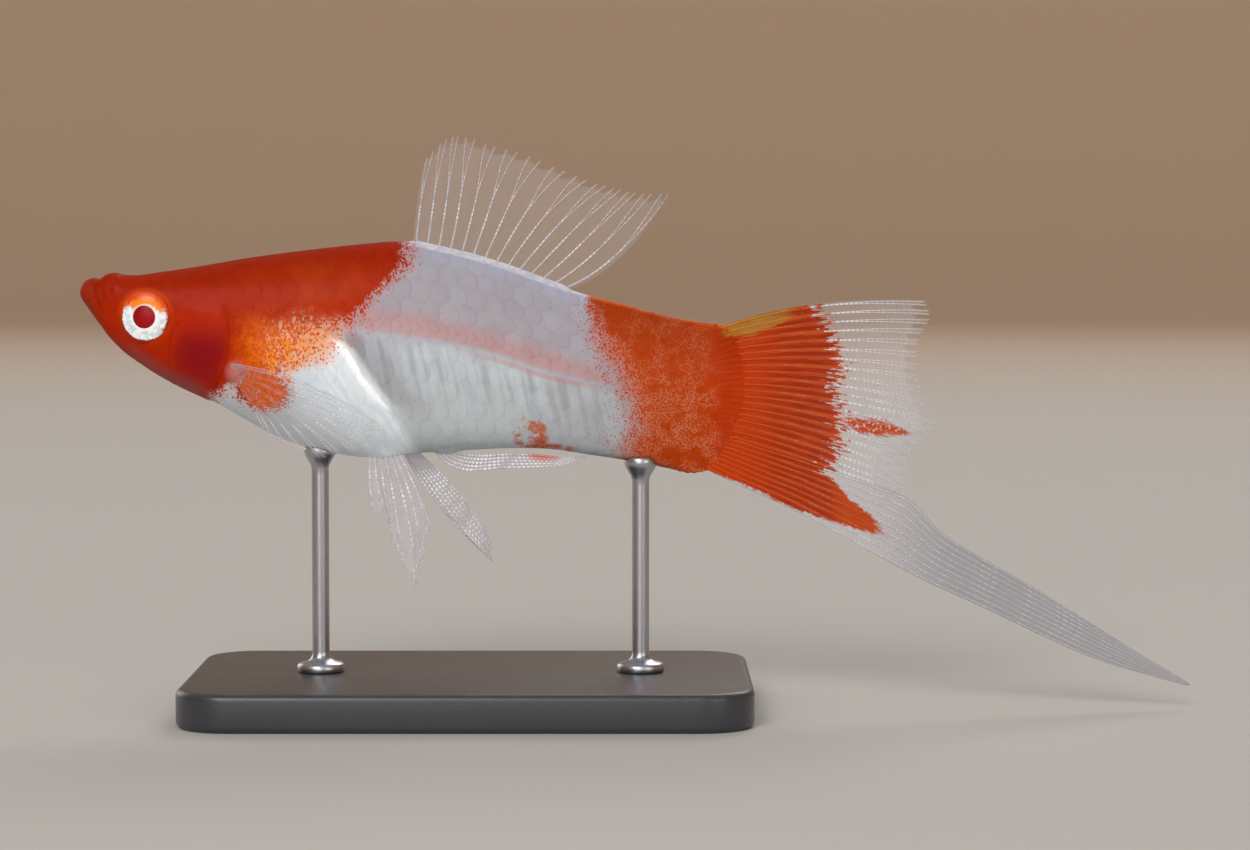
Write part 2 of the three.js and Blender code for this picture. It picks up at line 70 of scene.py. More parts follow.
# The layers of an eye, each turned round its axis: how far its dome reaches, where it starts along the axis
# and how high it rises, and the edge of the iris round the pupil as places out from the pupil and along.
IRIS = {
    "past_socket": 0.12, "foot": 0.26, "rise": 0.42, "floor": 0.4, "lip": 0.1, "waist": 0.8,
    "waist_at": -0.6, "back": -1.1,
}
IRIS_LIP = [(0.1, 0.4), (0.02, 0.55), (0.01, 0.62), (0.06, 0.66)]
LENS = {"past_pupil": 0.05, "foot": 0.46, "rise": 0.2, "waist": 0.6, "waist_at": 0.3, "back": 0.25}
CORNEA = {"inside": 0.02, "thick": 0.06, "foot": 0.28, "rise": 0.6}

# The body, section by section from the snout to the root of the tail fin: the place along the body, the
# heights of the back and of the belly, half the width, the share of the height where the section is
# widest, and how square its upper and lower halves are, where 2 is an ellipse.
BODY = np.array([
    [-36.0, 7.8, 7.8, 0.0, 0.5, 2.2, 2.0],
    [-35.75, 8.5, 7.05, 1.0, 0.5, 2.2, 2.0],
    [-35.3, 8.9, 6.4, 1.4, 0.5, 2.2, 2.0],
    [-34.65, 9.05, 5.45, 1.7, 0.5, 2.3, 2.0],
    [-34.0, 9.1, 4.55, 1.9, 0.5, 2.4, 1.95],
    [-33.35, 9.45, 3.65, 2.1, 0.5, 2.5, 1.9],
    [-32.6, 9.55, 2.85, 2.3, 0.51, 2.6, 1.85],
    [-31.8, 9.35, 2.1, 2.55, 0.52, 2.6, 1.8],
    [-30.4, 9.35, 1.1, 2.95, 0.52, 2.6, 1.8],
    [-28.7, 9.6, 0.0, 3.3, 0.52, 2.5, 1.8],
    [-26.4, 9.9, -1.2, 3.7, 0.52, 2.4, 1.85],
    [-23.6, 10.35, -2.4, 4.05, 0.53, 2.25, 1.9],
    [-20.4, 10.9, -4.2, 4.3, 0.53, 2.1, 2.0],
    [-17.1, 11.35, -5.9, 4.5, 0.53, 2.0, 2.1],
    [-13.4, 11.8, -6.95, 4.6, 0.52, 2.0, 2.2],
    [-9.6, 12.2, -7.5, 4.5, 0.52, 2.0, 2.2],
    [-6.2, 12.4, -7.2, 4.3, 0.52, 2.0, 2.15],
    [-3.0, 11.8, -7.0, 4.05, 0.52, 1.95, 2.1],
    [0.5, 10.95, -6.8, 3.75, 0.51, 1.95, 2.0],
    [4.0, 9.85, -6.65, 3.35, 0.5, 1.95, 2.0],
    [7.5, 8.55, -6.75, 2.95, 0.5, 1.95, 2.0],
    [11.0, 7.45, -7.25, 2.55, 0.5, 1.95, 2.0],
    [15.0, 6.5, -7.85, 2.1, 0.5, 2.0, 2.0],
    [19.0, 5.5, -8.45, 1.65, 0.5, 2.0, 2.0],
    [22.5, 4.85, -8.95, 1.2, 0.5, 2.0, 2.0],
    [25.5, 4.45, -8.5, 0.8, 0.5, 2.0, 2.0],
])
SKIN_RINGS = 336
SKIN_SPOKES = 280

# The round end of the tail stalk, where the rays of the tail fin begin, and how the skin thins out there.
TAIL_ARC = {"x": 14.2, "z": -0.65, "radius": 10.55, "top": 30.3, "split": -28.4, "foot": -47.6}
TAIL_SHEATH = {
    "from": 14.0, "past": 1.4, "thin": 0.995, "thins": (0.55, 1),
    "ridge": 0.05, "ridge_rises": (-2.4, -0.2), "ridge_falls": (0.1, 1.0),
}

# The fins in side view. Angles are those at which the rays leave the root, tips the outer edge, both from
# the first ray to the last. Sway, waves and phase say how a fin bends to the sides, rods and sheet how its
# rays and its web are built. The width of a rod is half its thickness at the root and at the tip.
DORSAL = {
    "rays": 14, "front": -5.25, "rear": 8.9, "sunk": 0.15, "sway": 0.7, "waves": 5,
    "angles": [86, 78, 70, 58, 44, 18],
    "tips": [
        (-4.15, 19.9), (-2.3, 21.8), (-0.6, 22.15), (2.1, 21.35), (5.2, 20.5), (8.6, 19.1),
        (11.6, 17.9), (13.9, 17.3), (15.9, 16.9), (18.4, 16.95),
    ],
    "rods": {"width": (0.13, 0.035), "splits": (0.48, 0.86), "spread": (0.23, 0.04), "curl": 0.16},
    "sheet": {"margin": (0.035, 0.035)},
}
CAUDAL = {
    "rays": 20, "sway": 0.8, "waves": 4, "phase": 0.6,
    "angles": [20, 8, 0, -7, -15],
    "tips": [
        (42.2, 6.95), (42.6, 5.3), (41.75, 3.5), (41.5, 1.3), (41.65, -0.8), (42.3, -3.0), (43.2, -4.7),
        (41.2, -6.5), (40.5, -8.3), (40.3, -10.1), (41.0, -11.4),
    ],
    "rods": {"width": (0.13, 0.045), "splits": (0.42, 0.82), "spread": (0.19, 0.06)},
    "sheet": {"rows": 44},
}
SWORD = {
    "rays": 9, "sway": 0.5, "point": 0.04,
    "upper": [
        (27.8, -6.86), (32.4, -8.31), (37.0, -9.93), (40.7, -11.4), (43.6, -14.4), (47.0, -16.6),
        (52.5, -19.75), (58.5, -23.5), (63.9, -26.95),
    ],
    "lower": [
        (25.2, -10.3), (29.2, -12.1), (34.2, -14.75), (38.2, -16.95), (42.6, -19.2), (47.6, -21.5),
        (53.6, -24.4), (59.0, -26.7), (64.8, -28.35),
    ],
    "rods": {"width": (0.12, 0.065), "splits": (1, 1), "segment": 0.6},
    "sheet": {"rows": 90, "margin": (0, 0), "pleat": 0.01},
}
PECTORAL = {
    "rays": 13, "splay": 18, "clear": 0.45, "curl": 0.5,
    "angles": [-4, -14, -30, -52],
    "root": [(-21.3, 1.3), (-21.1, 0.2), (-21.0, -0.85)],
    "tips": [
        (-11.2, -2.0), (-8.6, -3.3), (-7.3, -4.6), (-8.4, -5.7), (-9.9, -6.5), (-12.4, -7.15),
        (-15.1, -6.9), (-17.5, -5.7), (-18.9, -4.3),
    ],
    "rods": {"width": (0.05, 0.03), "splits": (0.5, 0.8)},
}
PELVIC = {
    "rays": 7, "apart": 0.85, "sunk": 0.25, "sway": 0.3, "waves": 6,
    "rods": {"width": (0.17, 0.06), "splits": (0.45, 0.8), "spread": (0.2, 0.05)},
}
PELVIC_LEFT = {
    "side": -1, "from": -6.5, "to": -9.3, "angles": [-58, -66, -82, -97], "spread": 2.2,
    "tips": [
        (-3.4, -13.4), (-3.9, -15.6), (-4.4, -17.6), (-4.95, -19.45), (-6.2, -17.4), (-7.1, -15.0),
        (-7.6, -12.2), (-8.2, -12.9), (-8.9, -12.4),
    ],
}
PELVIC_RIGHT = {
    "side": 1, "from": -5.2, "to": -6.3, "angles": [-38, -50, -64], "spread": 1.6,
    "tips": [(1.3, -14.7), (1.95, -16.0), (1.7, -16.7), (2.0, -17.45), (0.4, -16.0)],
}
GONOPODIUM = {
    "rays": 5,
    "upper": [
        (-1.6, -6.9), (-0.6, -7.2), (1.2, -7.3), (3.6, -7.2), (6.0, -7.25), (8.4, -7.5), (10.7, -7.45),
    ],
    "lower": [
        (-3.3, -6.9), (-2.3, -8.1), (-0.3, -8.8), (2.6, -8.6), (5.6, -8.5), (8.3, -8.3), (10.75, -7.75),
    ],
    "rods": {"width": (0.17, 0.07), "splits": (1, 1), "segment": 0.34},
}

# How far the outer rays of a fin lie in from its edges, in ray steps, and how deep the roots of the tail's
# rays lie inside the tail arc.
RAY_FLANK = 0.3
RAY_SUNK = 0.2

# Relief of the head: lines in side view, and the grooves along them with the lips beside these.
GILL_EDGE = [(-22.8, 13), (-22.3, 7), (-21.9, 4.3), (-22.05, 2.4), (-22.6, 0.6), (-23.5, -1.1), (-24.6, -4)]
GILL_COVER = {
    "front": -27.6, "rear": -22, "top": 5.6, "top_fade": 1.6, "foot": -2.2, "foot_fade": 1.2, "rise": 0.19,
    "step": (-0.25, 0.2), "groove": 0.07, "groove_place": 0.35, "groove_wide": 0.25,
}
CHEEK_LINE = [(-26.7, 4.9), (-27.4, 2.6), (-27.5, 0.7), (-27.0, -0.7)]
CHEEK_GROOVE = {"deep": 0.06, "wide": 0.16, "lip": 0.03, "lip_place": 0.4, "lip_wide": 0.25}
MOUTH_SLIT = [(-34.1, 9.35), (-34.35, 8.8), (-34.45, 8.1), (-34.35, 7.3), (-34.0, 6.5)]
MOUTH_GROOVE = {"deep": 0.1, "wide": 0.12, "lip": 0.025, "lip_place": 0.42, "lip_wide": 0.25}
JAW_FOLD = [(-33.6, 7.6), (-33.3, 6.7), (-32.8, 5.9), (-32.1, 5.2)]
JAW_GROOVE = {"deep": 0.022, "wide": 0.25}
NOSTRIL = (-32.9, 8.0)
NOSTRIL_PIT = {"deep": 0.12, "wide": 0.2, "lip": 0.02, "lip_place": 0.4, "lip_wide": 0.16}
EYE_SOCKET = {"deep": 1.5, "floor": 1.75, "edge": 2.3}

# Between which distances from the middle plane the relief of the sides of the head comes up.
SIDE_OF_HEAD = (0.9, 1.6)

# Swellings at the roots of the fins. Those of the belly each have a place along the body and across it, how
# they are squeezed in these directions, and how far they stand out and reach.
BREAST_ROOT = {"x": -21.2, "z": 0.3, "long": 1.2, "high": 1.4, "out": 0.6, "reach": 0.8}
BACK_RIDGE = {"from": (-6.3, -4.8), "to": (8.2, 9.8), "out": 0.3, "reach": 0.42}
BELLY_ROOTS = [
    (-7.4, -0.85, 1, 1.4, 0.28, 1.2),
    (-7.4, 0.85, 1, 1.4, 0.28, 1.2),
    (-2.1, 0, 0.8, 1.5, 0.25, 1),
]

# The coat: rows of scales round the body and the pitch of the scales along a row, the size and slope of a
# scale, where the coat begins and ends, and how far the scales are shifted out of their rows. GIRTH says
# over which stretch the body is measured round, and into how many parts half its girth is parted.
SCALE_ROWS = 24
SCALE_PITCH = 1.7
SCALE = {"reach": 1.36, "spread": 0.74, "lift": 0.015, "tilt": 0.009, "thick": 0.01, "spokes": 12, "rings": 8}
COAT = {
    "first": -26, "last": 22, "past_gill": 1.1, "nape": -26.5, "nape_rise": (7.5, 9.5),
    "shift": (0.035, 0.0016), "seed": 7,
}
GIRTH = {"from": -30, "to": 25.4, "steps": 100}

# Colour borders in side view. Those of the red, of the tail's orange and of the gleam behind the gill cover
# give the place along the body for a height, the others the height for a place along the body.
FRONT_RED_ENDS = [
    (-8.0, -29.5), (-5.5, -26.8), (-3.5, -24.8), (-1.8, -23.0), (-0.8, -21.6), (0.4, -17.4),
    (1.0, -16.0), (2.4, -13.9), (4.3, -12.0), (5.3, -10.5), (6.2, -9.3), (7.5, -8.0), (9.0, -6.5),
    (10.5, -5.3), (12.0, -5.2), (13.0, -5.5),
]
REAR_RED_STARTS = [
    (-9.0, 12.0), (-6.0, 13.7), (-4.0, 14.3), (-2.0, 14.0), (0.0, 13.1), (1.5, 12.3), (3.0, 11.7),
    (5.0, 11.0), (7.0, 10.7), (9.0, 10.5),
]
BAND_TOP = [
    (-14.0, 7.2), (-11.1, 7.0), (-6.5, 6.6), (-1.85, 5.65), (2.8, 4.4), (7.4, 2.9), (12.0, 1.3),
    (16.0, 0.2),
]
BAND_FOOT = [
    (-14.0, 4.7), (-11.1, 4.4), (-6.5, 3.8), (-1.85, 3.15), (2.8, 1.95), (7.4, 0.4), (12.0, -0.65),
    (16.0, -1.6),
]
GLEAM = [(-4.4, -6.2), (-3.3, -6.9), (-1.8, -8.3), (0.1, -9.7), (2.4, -11.1), (3.8, -12.4), (4.6, -13.4)]
ORANGE_ENDS = [
    (-12.5, 33.5), (-9.2, 32.6), (-8.5, 33.3), (-7.0, 33.8), (-5.5, 34.3), (-3.0, 34.0), (-1.0, 33.8),
    (1.0, 34.3), (3.0, 33.9), (4.5, 33.2), (6.2, 32.0), (8.0, 31.2),
]
ORANGE_FOOT = [(20.0, -8.4), (23.7, -9.5), (26.4, -10.6), (29.5, -12.1), (33.8, -13.6), (38.8, -15.0)]
TONGUE_TOP = [(30.0, -8.2), (33.0, -9.1), (35.3, -11.4), (37.0, -12.7), (38.8, -14.6)]
STREAK_LINE = [(33.0, -3.4), (35.0, -4.2), (37.0, -4.7), (39.0, -5.0), (41.3, -5.45)]

# Patches of colour in side view: the middle of each, and its reach along the body and up.
SHOULDER_GLOW = ((-14, 8.5), (9, 3))
GILL_PATCH = ((-24.3, 3.0), (2.9, 4.0))
BREAST_PATCH = ((-18.9, -1.1), (4.2, 3.0))
FIN_LOBE = ((-21.2, 0.4), (1.3, 1.6))
PINK_RAYS = ((-20.0, 0.5), (4.2, 0.9))
BELLY_SPOT = ((5.7, -5.3), (2.3, 2.4))
BELLY_SPOT_FOOT = ((7.6, -6.8), (2.8, 0.9))
GONOPODIUM_PATCH = ((6.9, -7.3), (2.2, 0.8))

# The stand: its base and its rods, and each rod's foot and cup as places out from its axis and up from the
# base or the belly.
BASE = {"length": 52, "width": 32, "thickness": 3.5, "corner": 5, "bevel": 0.6}
ROD = {"radius": 0.8, "shaft_foot": 1.6, "shaft_top": -1.7, "neck": -1.4, "under_skin": 0.04}
ROD_FOOT = [
    (0, -0.3), (2.05, -0.3), (2.2, -0.15), (2.2, 0.35), (2.0, 0.55), (1.35, 0.7), (0.98, 0.95),
    (0.8, 1.3),
]
ROD_CUP = [
    (0.86, -1.4), (1.1, -0.95), (1.38, -0.5), (1.5, -0.2), (1.5, 0.15), (1.42, 0.4), (1.3, 0.5),
    (0.9, 0.5), (0.45, 0.5), (0, 0.5),
]

# The stage, in metres: a round floor that bends up into a wall, the point that camera and lights look at, and
# the lights with their places, sizes and shares of the key light's power. The floor's colour turns into the
# wall's between two distances in millimetres. AIR is the even light from all round.
FLOOR = {"rings": (0, 0.3, 0.7), "radius": 1.5, "bend": 0.35, "height": 1.4}
BACKDROP_FADE = (250, 1300)
LOOK_AT = Vector((0.01435, 0, 0.02646))
LIGHTS = [
    ("key_light", (-0.4, -1.1, 0.85), 0.7, 1),
    ("fill_light", (0.8, -1.0, 0.35), 0.8, 0.35),
    ("low_light", (-0.2, -1.15, 0.14), 0.7, 0.28),
    ("rim_light", (0.35, 0.95, 0.9), 0.8, 0.5),
    ("back_fill_light", (-0.8, 0.9, 0.35), 0.8, 0.25),
]
LIGHT_SPREAD = math.radians(115)
AIR = {"colour": (0.9, 0.94, 1, 1), "strength": 0.42}
VIEW_WIDTH = 1250 / 10.8 * MM


def srgb(red, green, blue):
    """A colour given from 0 to 255, as the linear colour that shaders and properties hold."""
    return tuple((part / 255 / 12.92) if part <= 10 else ((part / 255 + 0.055) / 1.055) ** 2.4
                 for part in (red, green, blue))


def dim(colour, share):
    """A colour with a share of its brightness."""
    return tuple(part * share for part in colour)


WHITE = srgb(248, 250, 252)
BLACK = (0, 0, 0)


def ease(value, low, high):
    share = np.clip((value - low) / (high - low), 0, 1)
    return share * share * (3 - 2 * share)


def mix(first, second, share):
    return first + (second - first) * share


def bell(distance, width):
    return np.exp(-((distance / width) ** 2))


def power(value, exponent):
    return np.sign(value) * np.abs(value) ** exponent


def smooth_rows(rows, place, before=None, after=None):
    """Rows of numbers read at places between them, along a smooth curve through every row."""
    rows = np.asarray(rows, float)
    before = 2 * rows[0] - rows[1] if before is None else before
    after = 2 * rows[-1] - rows[-2] if after is None else after
    padded = np.vstack([before, rows, after])
    place = np.clip(np.atleast_1d(np.asarray(place, float)), 0, len(rows) - 1)
    first = np.minimum(place.astype(int), len(rows) - 2)
    t = (place - first)[..., None]
    a, b, c, d = (padded[first + k] for k in range(4))
    square = t * t * (2 * a - 5 * b + 4 * c - d)
    cube = t ** 3 * (3 * b - a - 3 * c + d)
    return 0.5 * (2 * b + t * (c - a) + square + cube)


def side_line(points):
    """A smooth line in side view, read at a share of its points."""
    def at(share):
        found = smooth_rows(points, np.asarray(share, float) * (len(points) - 1))
        return found[..., 0], found[..., 1]
    return at


def body_rows(place):
    """The sections read at places between them. Before the snout they go on as if turned upside down."""
    mirrored = BODY[1][[0, 2, 1, 3, 4, 5, 6]] * [1, 1, 1, -1, 1, 1, 1]
    return smooth_rows(BODY, place, mirrored, BODY[-1])


BODY_TABLE = body_rows(np.linspace(0, len(BODY) - 1, 1601))


def section_at(x):
    """The body's section at a place along it: back, belly, half width, widest height and squareness."""
    top, bottom, half, share, upper, lower = (
        np.interp(x, BODY_TABLE[:, 0], BODY_TABLE[:, column]) for column in range(1, 7)
    )
    return top, bottom, half, mix(bottom, top, share), upper, lower


def side_at(x, z):
    """Half the body's width at a place along it and a height."""
    top, bottom, half, wide, upper, lower = section_at(x)
    reach = np.where(z > wide, top - wide, wide - bottom)
    squareness = np.where(z > wide, upper, lower)
    share = np.clip(np.abs(z - wide) / reach, 0, 1)
    return half * (1 - share ** squareness) ** (1 / squareness)


def round_body(rows, angle):
    """Points on the body for rows of sections and angles round them, from its left side."""
    x, top, bottom, half, share, upper, lower = rows.T
    wide = mix(bottom, top, share)
    rise = np.sin(angle)
    squareness = 2 / np.where(rise >= 0, upper, lower)
    z = wide + np.where(rise >= 0, top - wide, wide - bottom) * power(rise, squareness)
    y = half * power(np.cos(angle), squareness)
    return np.stack([x, y, z], axis=-1)


def tail_end(points):
    """Draws the rear of the body out to the tail arc and thins it there, over the roots of the rays."""
    x, y, z = points.T
    start, last = TAIL_SHEATH["from"], BODY[-1][0]
    reach = TAIL_ARC["radius"] + TAIL_SHEATH["past"]
    arc = TAIL_ARC["x"] + np.sqrt(np.maximum(reach ** 2 - (z - TAIL_ARC["z"]) ** 2, 1))
    share = np.clip((x - start) / (last - start), 0, 1)
    thin = 1 - TAIL_SHEATH["thin"] * ease(share, *TAIL_SHEATH["thins"])
    return np.stack([np.where(x > start, start + share * (arc - start), x), y * thin, z], axis=-1)


def line_distance(x, z, points):
    """How far places in side view are from a line of straight stretches."""
    nearest = np.full(np.shape(x), np.inf)
    for (x0, z0), (x1, z1) in zip(points, points[1:]):
        along = (x - x0) * (x1 - x0) + (z - z0) * (z1 - z0)
        share = np.clip(along / ((x1 - x0) ** 2 + (z1 - z0) ** 2), 0, 1)
        nearest = np.minimum(nearest, np.hypot(x - mix(x0, x1, share), z - mix(z0, z1, share)))
    return nearest


def ray_steps(rays):
    """How wide a fin is from edge to edge, in ray steps."""
    return rays - 1 + 2 * RAY_FLANK


def gill_edge_at(z):
    places = np.array(GILL_EDGE)[::-1]
    return np.interp(z, places[:, 1], places[:, 0])


def groove(distance, deep, wide, lip=0, lip_place=0, lip_wide=1):
    """The height of a groove with a raised lip beside it, at a distance from the groove's line."""
    return lip * bell(distance - lip_place, lip_wide) - deep * bell(distance, wide)


def skin_relief(x, y, z):
    """How far the skin stands out over the plain body, on the head and at the roots of the fins."""
    cover = GILL_COVER
    edge = gill_edge_at(z)
    window = 1 - ease(z, cover["top"], cover["top"] + cover["top_fade"])
    window = window * ease(z, cover["foot"] - cover["foot_fade"], cover["foot"])
    lift = cover["rise"] * ease(x, cover["front"], cover["rear"])
    lift = lift * (1 - ease(x - edge, *cover["step"])) * window
    lift -= cover["groove"] * bell(x - edge - cover["groove_place"], cover["groove_wide"]) * window
    lift += groove(line_distance(x, z, CHEEK_LINE), **CHEEK_GROOVE)
    lift += groove(line_distance(x, z, MOUTH_SLIT), **MOUTH_GROOVE)
    on_side = ease(np.abs(y), *SIDE_OF_HEAD)
    lift += on_side * groove(line_distance(x, z, JAW_FOLD), **JAW_GROOVE)
    lift += on_side * groove(np.hypot(x - NOSTRIL[0], z - NOSTRIL[1]), **NOSTRIL_PIT)
    from_eye = np.hypot(x - EYE["x"], z - EYE["z"])
    lift -= on_side * EYE_SOCKET["deep"] * (1 - ease(from_eye, EYE_SOCKET["floor"], EYE_SOCKET["edge"]))

    root = BREAST_ROOT
    from_root = np.hypot((x - root["x"]) / root["long"], (z - root["z"]) / root["high"])
    lift += root["out"] * bell(from_root, root["reach"]) * on_side
    ridge = BACK_RIDGE
    along = ease(x, *ridge["from"]) * (1 - ease(x, *ridge["to"])) * ease(z, 4, 6)
    lift += ridge["out"] * bell(y, ridge["reach"]) * along
    for place_x, place_y, squeeze_x, squeeze_y, out, reach in BELLY_ROOTS:
        away = np.hypot((x - place_x) * squeeze_x, (y - place_y) * squeeze_y)
        lift += out * bell(away, reach) * (z < -5)

    degrees = np.degrees(np.arctan2(z - TAIL_ARC["z"], x - TAIL_ARC["x"]))
    phase = (TAIL_ARC["top"] - degrees) / (TAIL_ARC["top"] - TAIL_ARC["split"]) * ray_steps(CAUDAL["rays"])
    from_arc = np.hypot(x - TAIL_ARC["x"], z - TAIL_ARC["z"]) - TAIL_ARC["radius"]
    ridges = ease(from_arc, *TAIL_SHEATH["ridge_rises"]) * (x > TAIL_ARC["x"])
    ridges = ridges * (1 - ease(from_arc, *TAIL_SHEATH["ridge_falls"]))
    return lift + TAIL_SHEATH["ridge"] * (1 + np.cos(2 * np.pi * (phase - RAY_FLANK))) * ridges


def riding(name, mesh, material):
    """A smooth object of a mesh, with its material, that rides on the part."""
    mesh.shade_smooth()
    mesh.materials.append(material)
    piece = bpy.data.objects.new(name, mesh)
    bpy.context.scene.collection.objects.link(piece)
    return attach(piece, "root")


def finished(name, bm, material):
    """Turns a bmesh in millimetres of the fish's frame into an object in metres that rides on the part."""
    bmesh.ops.recalc_face_normals(bm, faces=bm.faces[:])
    mesh = bpy.data.meshes.new(name)
    bm.to_mesh(mesh)
    bm.free()
    mesh.transform(Matrix.Translation((0, 0, LEVEL * MM)) @ Matrix.Scale(MM, 4))
    return riding(name, mesh, material)


def move_all(bm, place):
    """Moves every vertex of a bmesh to where a function of all their places says."""
    places = np.array([vertex.co[:] for vertex in bm.verts])
    for vertex, target in zip(bm.verts, place(places)):
        vertex.co = target


def unit_ball(spokes, rings, uvs=False):
    bm = bmesh.new()
    if uvs:
        bm.loops.layers.uv.new("OFBake")
    bmesh.ops.create_uvsphere(bm, u_segments=spokes, v_segments=rings, radius=1, calc_uvs=uvs)
    return bm


def ball_shares(places):
    """For points on the unit ball, the share of the way from its upper pole and the angle round it."""
    return np.arccos(np.clip(places[:, 2], -1, 1)) / np.pi, np.arctan2(places[:, 1], -places[:, 0])


def joined(name, pieces, material):
    """One object of many copies of small closed shapes. Each piece is a shape, the places of the vertices
    of its copies in millimetres, and numbers for these vertices by the name of their attribute."""
    points, faces, layers = [], [], {}
    first = 0
    for shape, places, attributes in pieces:
        count, corners, _ = places.shape
        own = [[vertex.index for vertex in face.verts] for face in shape.faces]
        for start in range(first, first + count * corners, corners):
            faces += [[index + start for index in face] for face in own]
        points.append(places.reshape(-1, 3))
        for key, values in attributes.items():
            layers.setdefault(key, []).append(values.ravel())
        first += count * corners
        shape.free()
    mesh = bpy.data.meshes.new(name)
    mesh.from_pydata((np.concatenate(points) * MM + [0, 0, LEVEL * MM]).tolist(), [], faces)
    for key, values in layers.items():
        layer = mesh.attributes.new(key, "FLOAT", "POINT")
        layer.data.foreach_set("value", np.concatenate(values).astype(np.float32))
    return riding(name, mesh, material)


def turned(profile, steps, merged=1e-4):
    """A round shape turned from a profile of places out from its axis and along it."""
    bm = bmesh.new()
    corners = [bm.verts.new((out, 0, along)) for out, along in profile]
    edges = [bm.edges.new(pair) for pair in zip(corners, corners[1:])]
    bmesh.ops.spin(bm, geom=corners + edges, cent=(0, 0, 0), axis=(0, 0, 1), angle=math.tau, steps=steps,
                   use_merge=True)
    bmesh.ops.remove_doubles(bm, verts=bm.verts[:], dist=merged)
    return bm


class Number:
    """A number that changes over a surface, with the sums that are used on it."""

    def __init__(self, paint, socket):
        self.paint = paint
        self.socket = socket

    def sum(self, operation, *values):
        node = self.paint.node("ShaderNodeMath", {"operation": operation}, dict(enumerate(values)))
        return Number(self.paint, node.outputs[0])

    def __add__(self, other):
        return self.sum("ADD", self, other)

    def __radd__(self, other):
        return self.sum("ADD", other, self)

    def __sub__(self, other):
        return self.sum("SUBTRACT", self, other)

    def __rsub__(self, other):
        return self.sum("SUBTRACT", other, self)

    def __mul__(self, other):
        return self.sum("MULTIPLY", self, other)

    def __rmul__(self, other):
        return self.sum("MULTIPLY", other, self)

    def __truediv__(self, other):
        return self.sum("DIVIDE", self, other)

    def __abs__(self):
        return self.sum("ABSOLUTE", self)

    def most(self, other):
        return self.sum("MAXIMUM", self, other)

    def least(self, other):
        return self.sum("MINIMUM", self, other)

    def fraction(self):
        return self.sum("FRACT", self)

    def sine(self):
        return self.sum("SINE", self)

    def distance(self, other):
        square = self * self + other * other
        return square.sum("SQRT", square)

    def ease(self, low, high):
        """0 below low, 1 above high, and a smooth rise between them."""
        node = self.paint.node("ShaderNodeMapRange", {"interpolation_type": "SMOOTHSTEP"},
                               {0: self, 1: low, 2: high, 3: 0, 4: 1})
        return Number(self.paint, node.outputs[0])

    def fall(self, low, high):
        """1 below low, 0 above high, and a smooth fall between them."""
        return 1 - self.ease(low, high)

    def between(self, rise_low, rise_high, fall_low, fall_high):
        """A smooth rise from 0 to 1 and, further on, a smooth fall back to 0."""
        return self.ease(rise_low, rise_high) * self.fall(fall_low, fall_high)

    def near(self, middle, full, none):
        """1 within full of middle, falling to 0 at none away from it."""
        return 1 - abs(self - middle).ease(full, none)


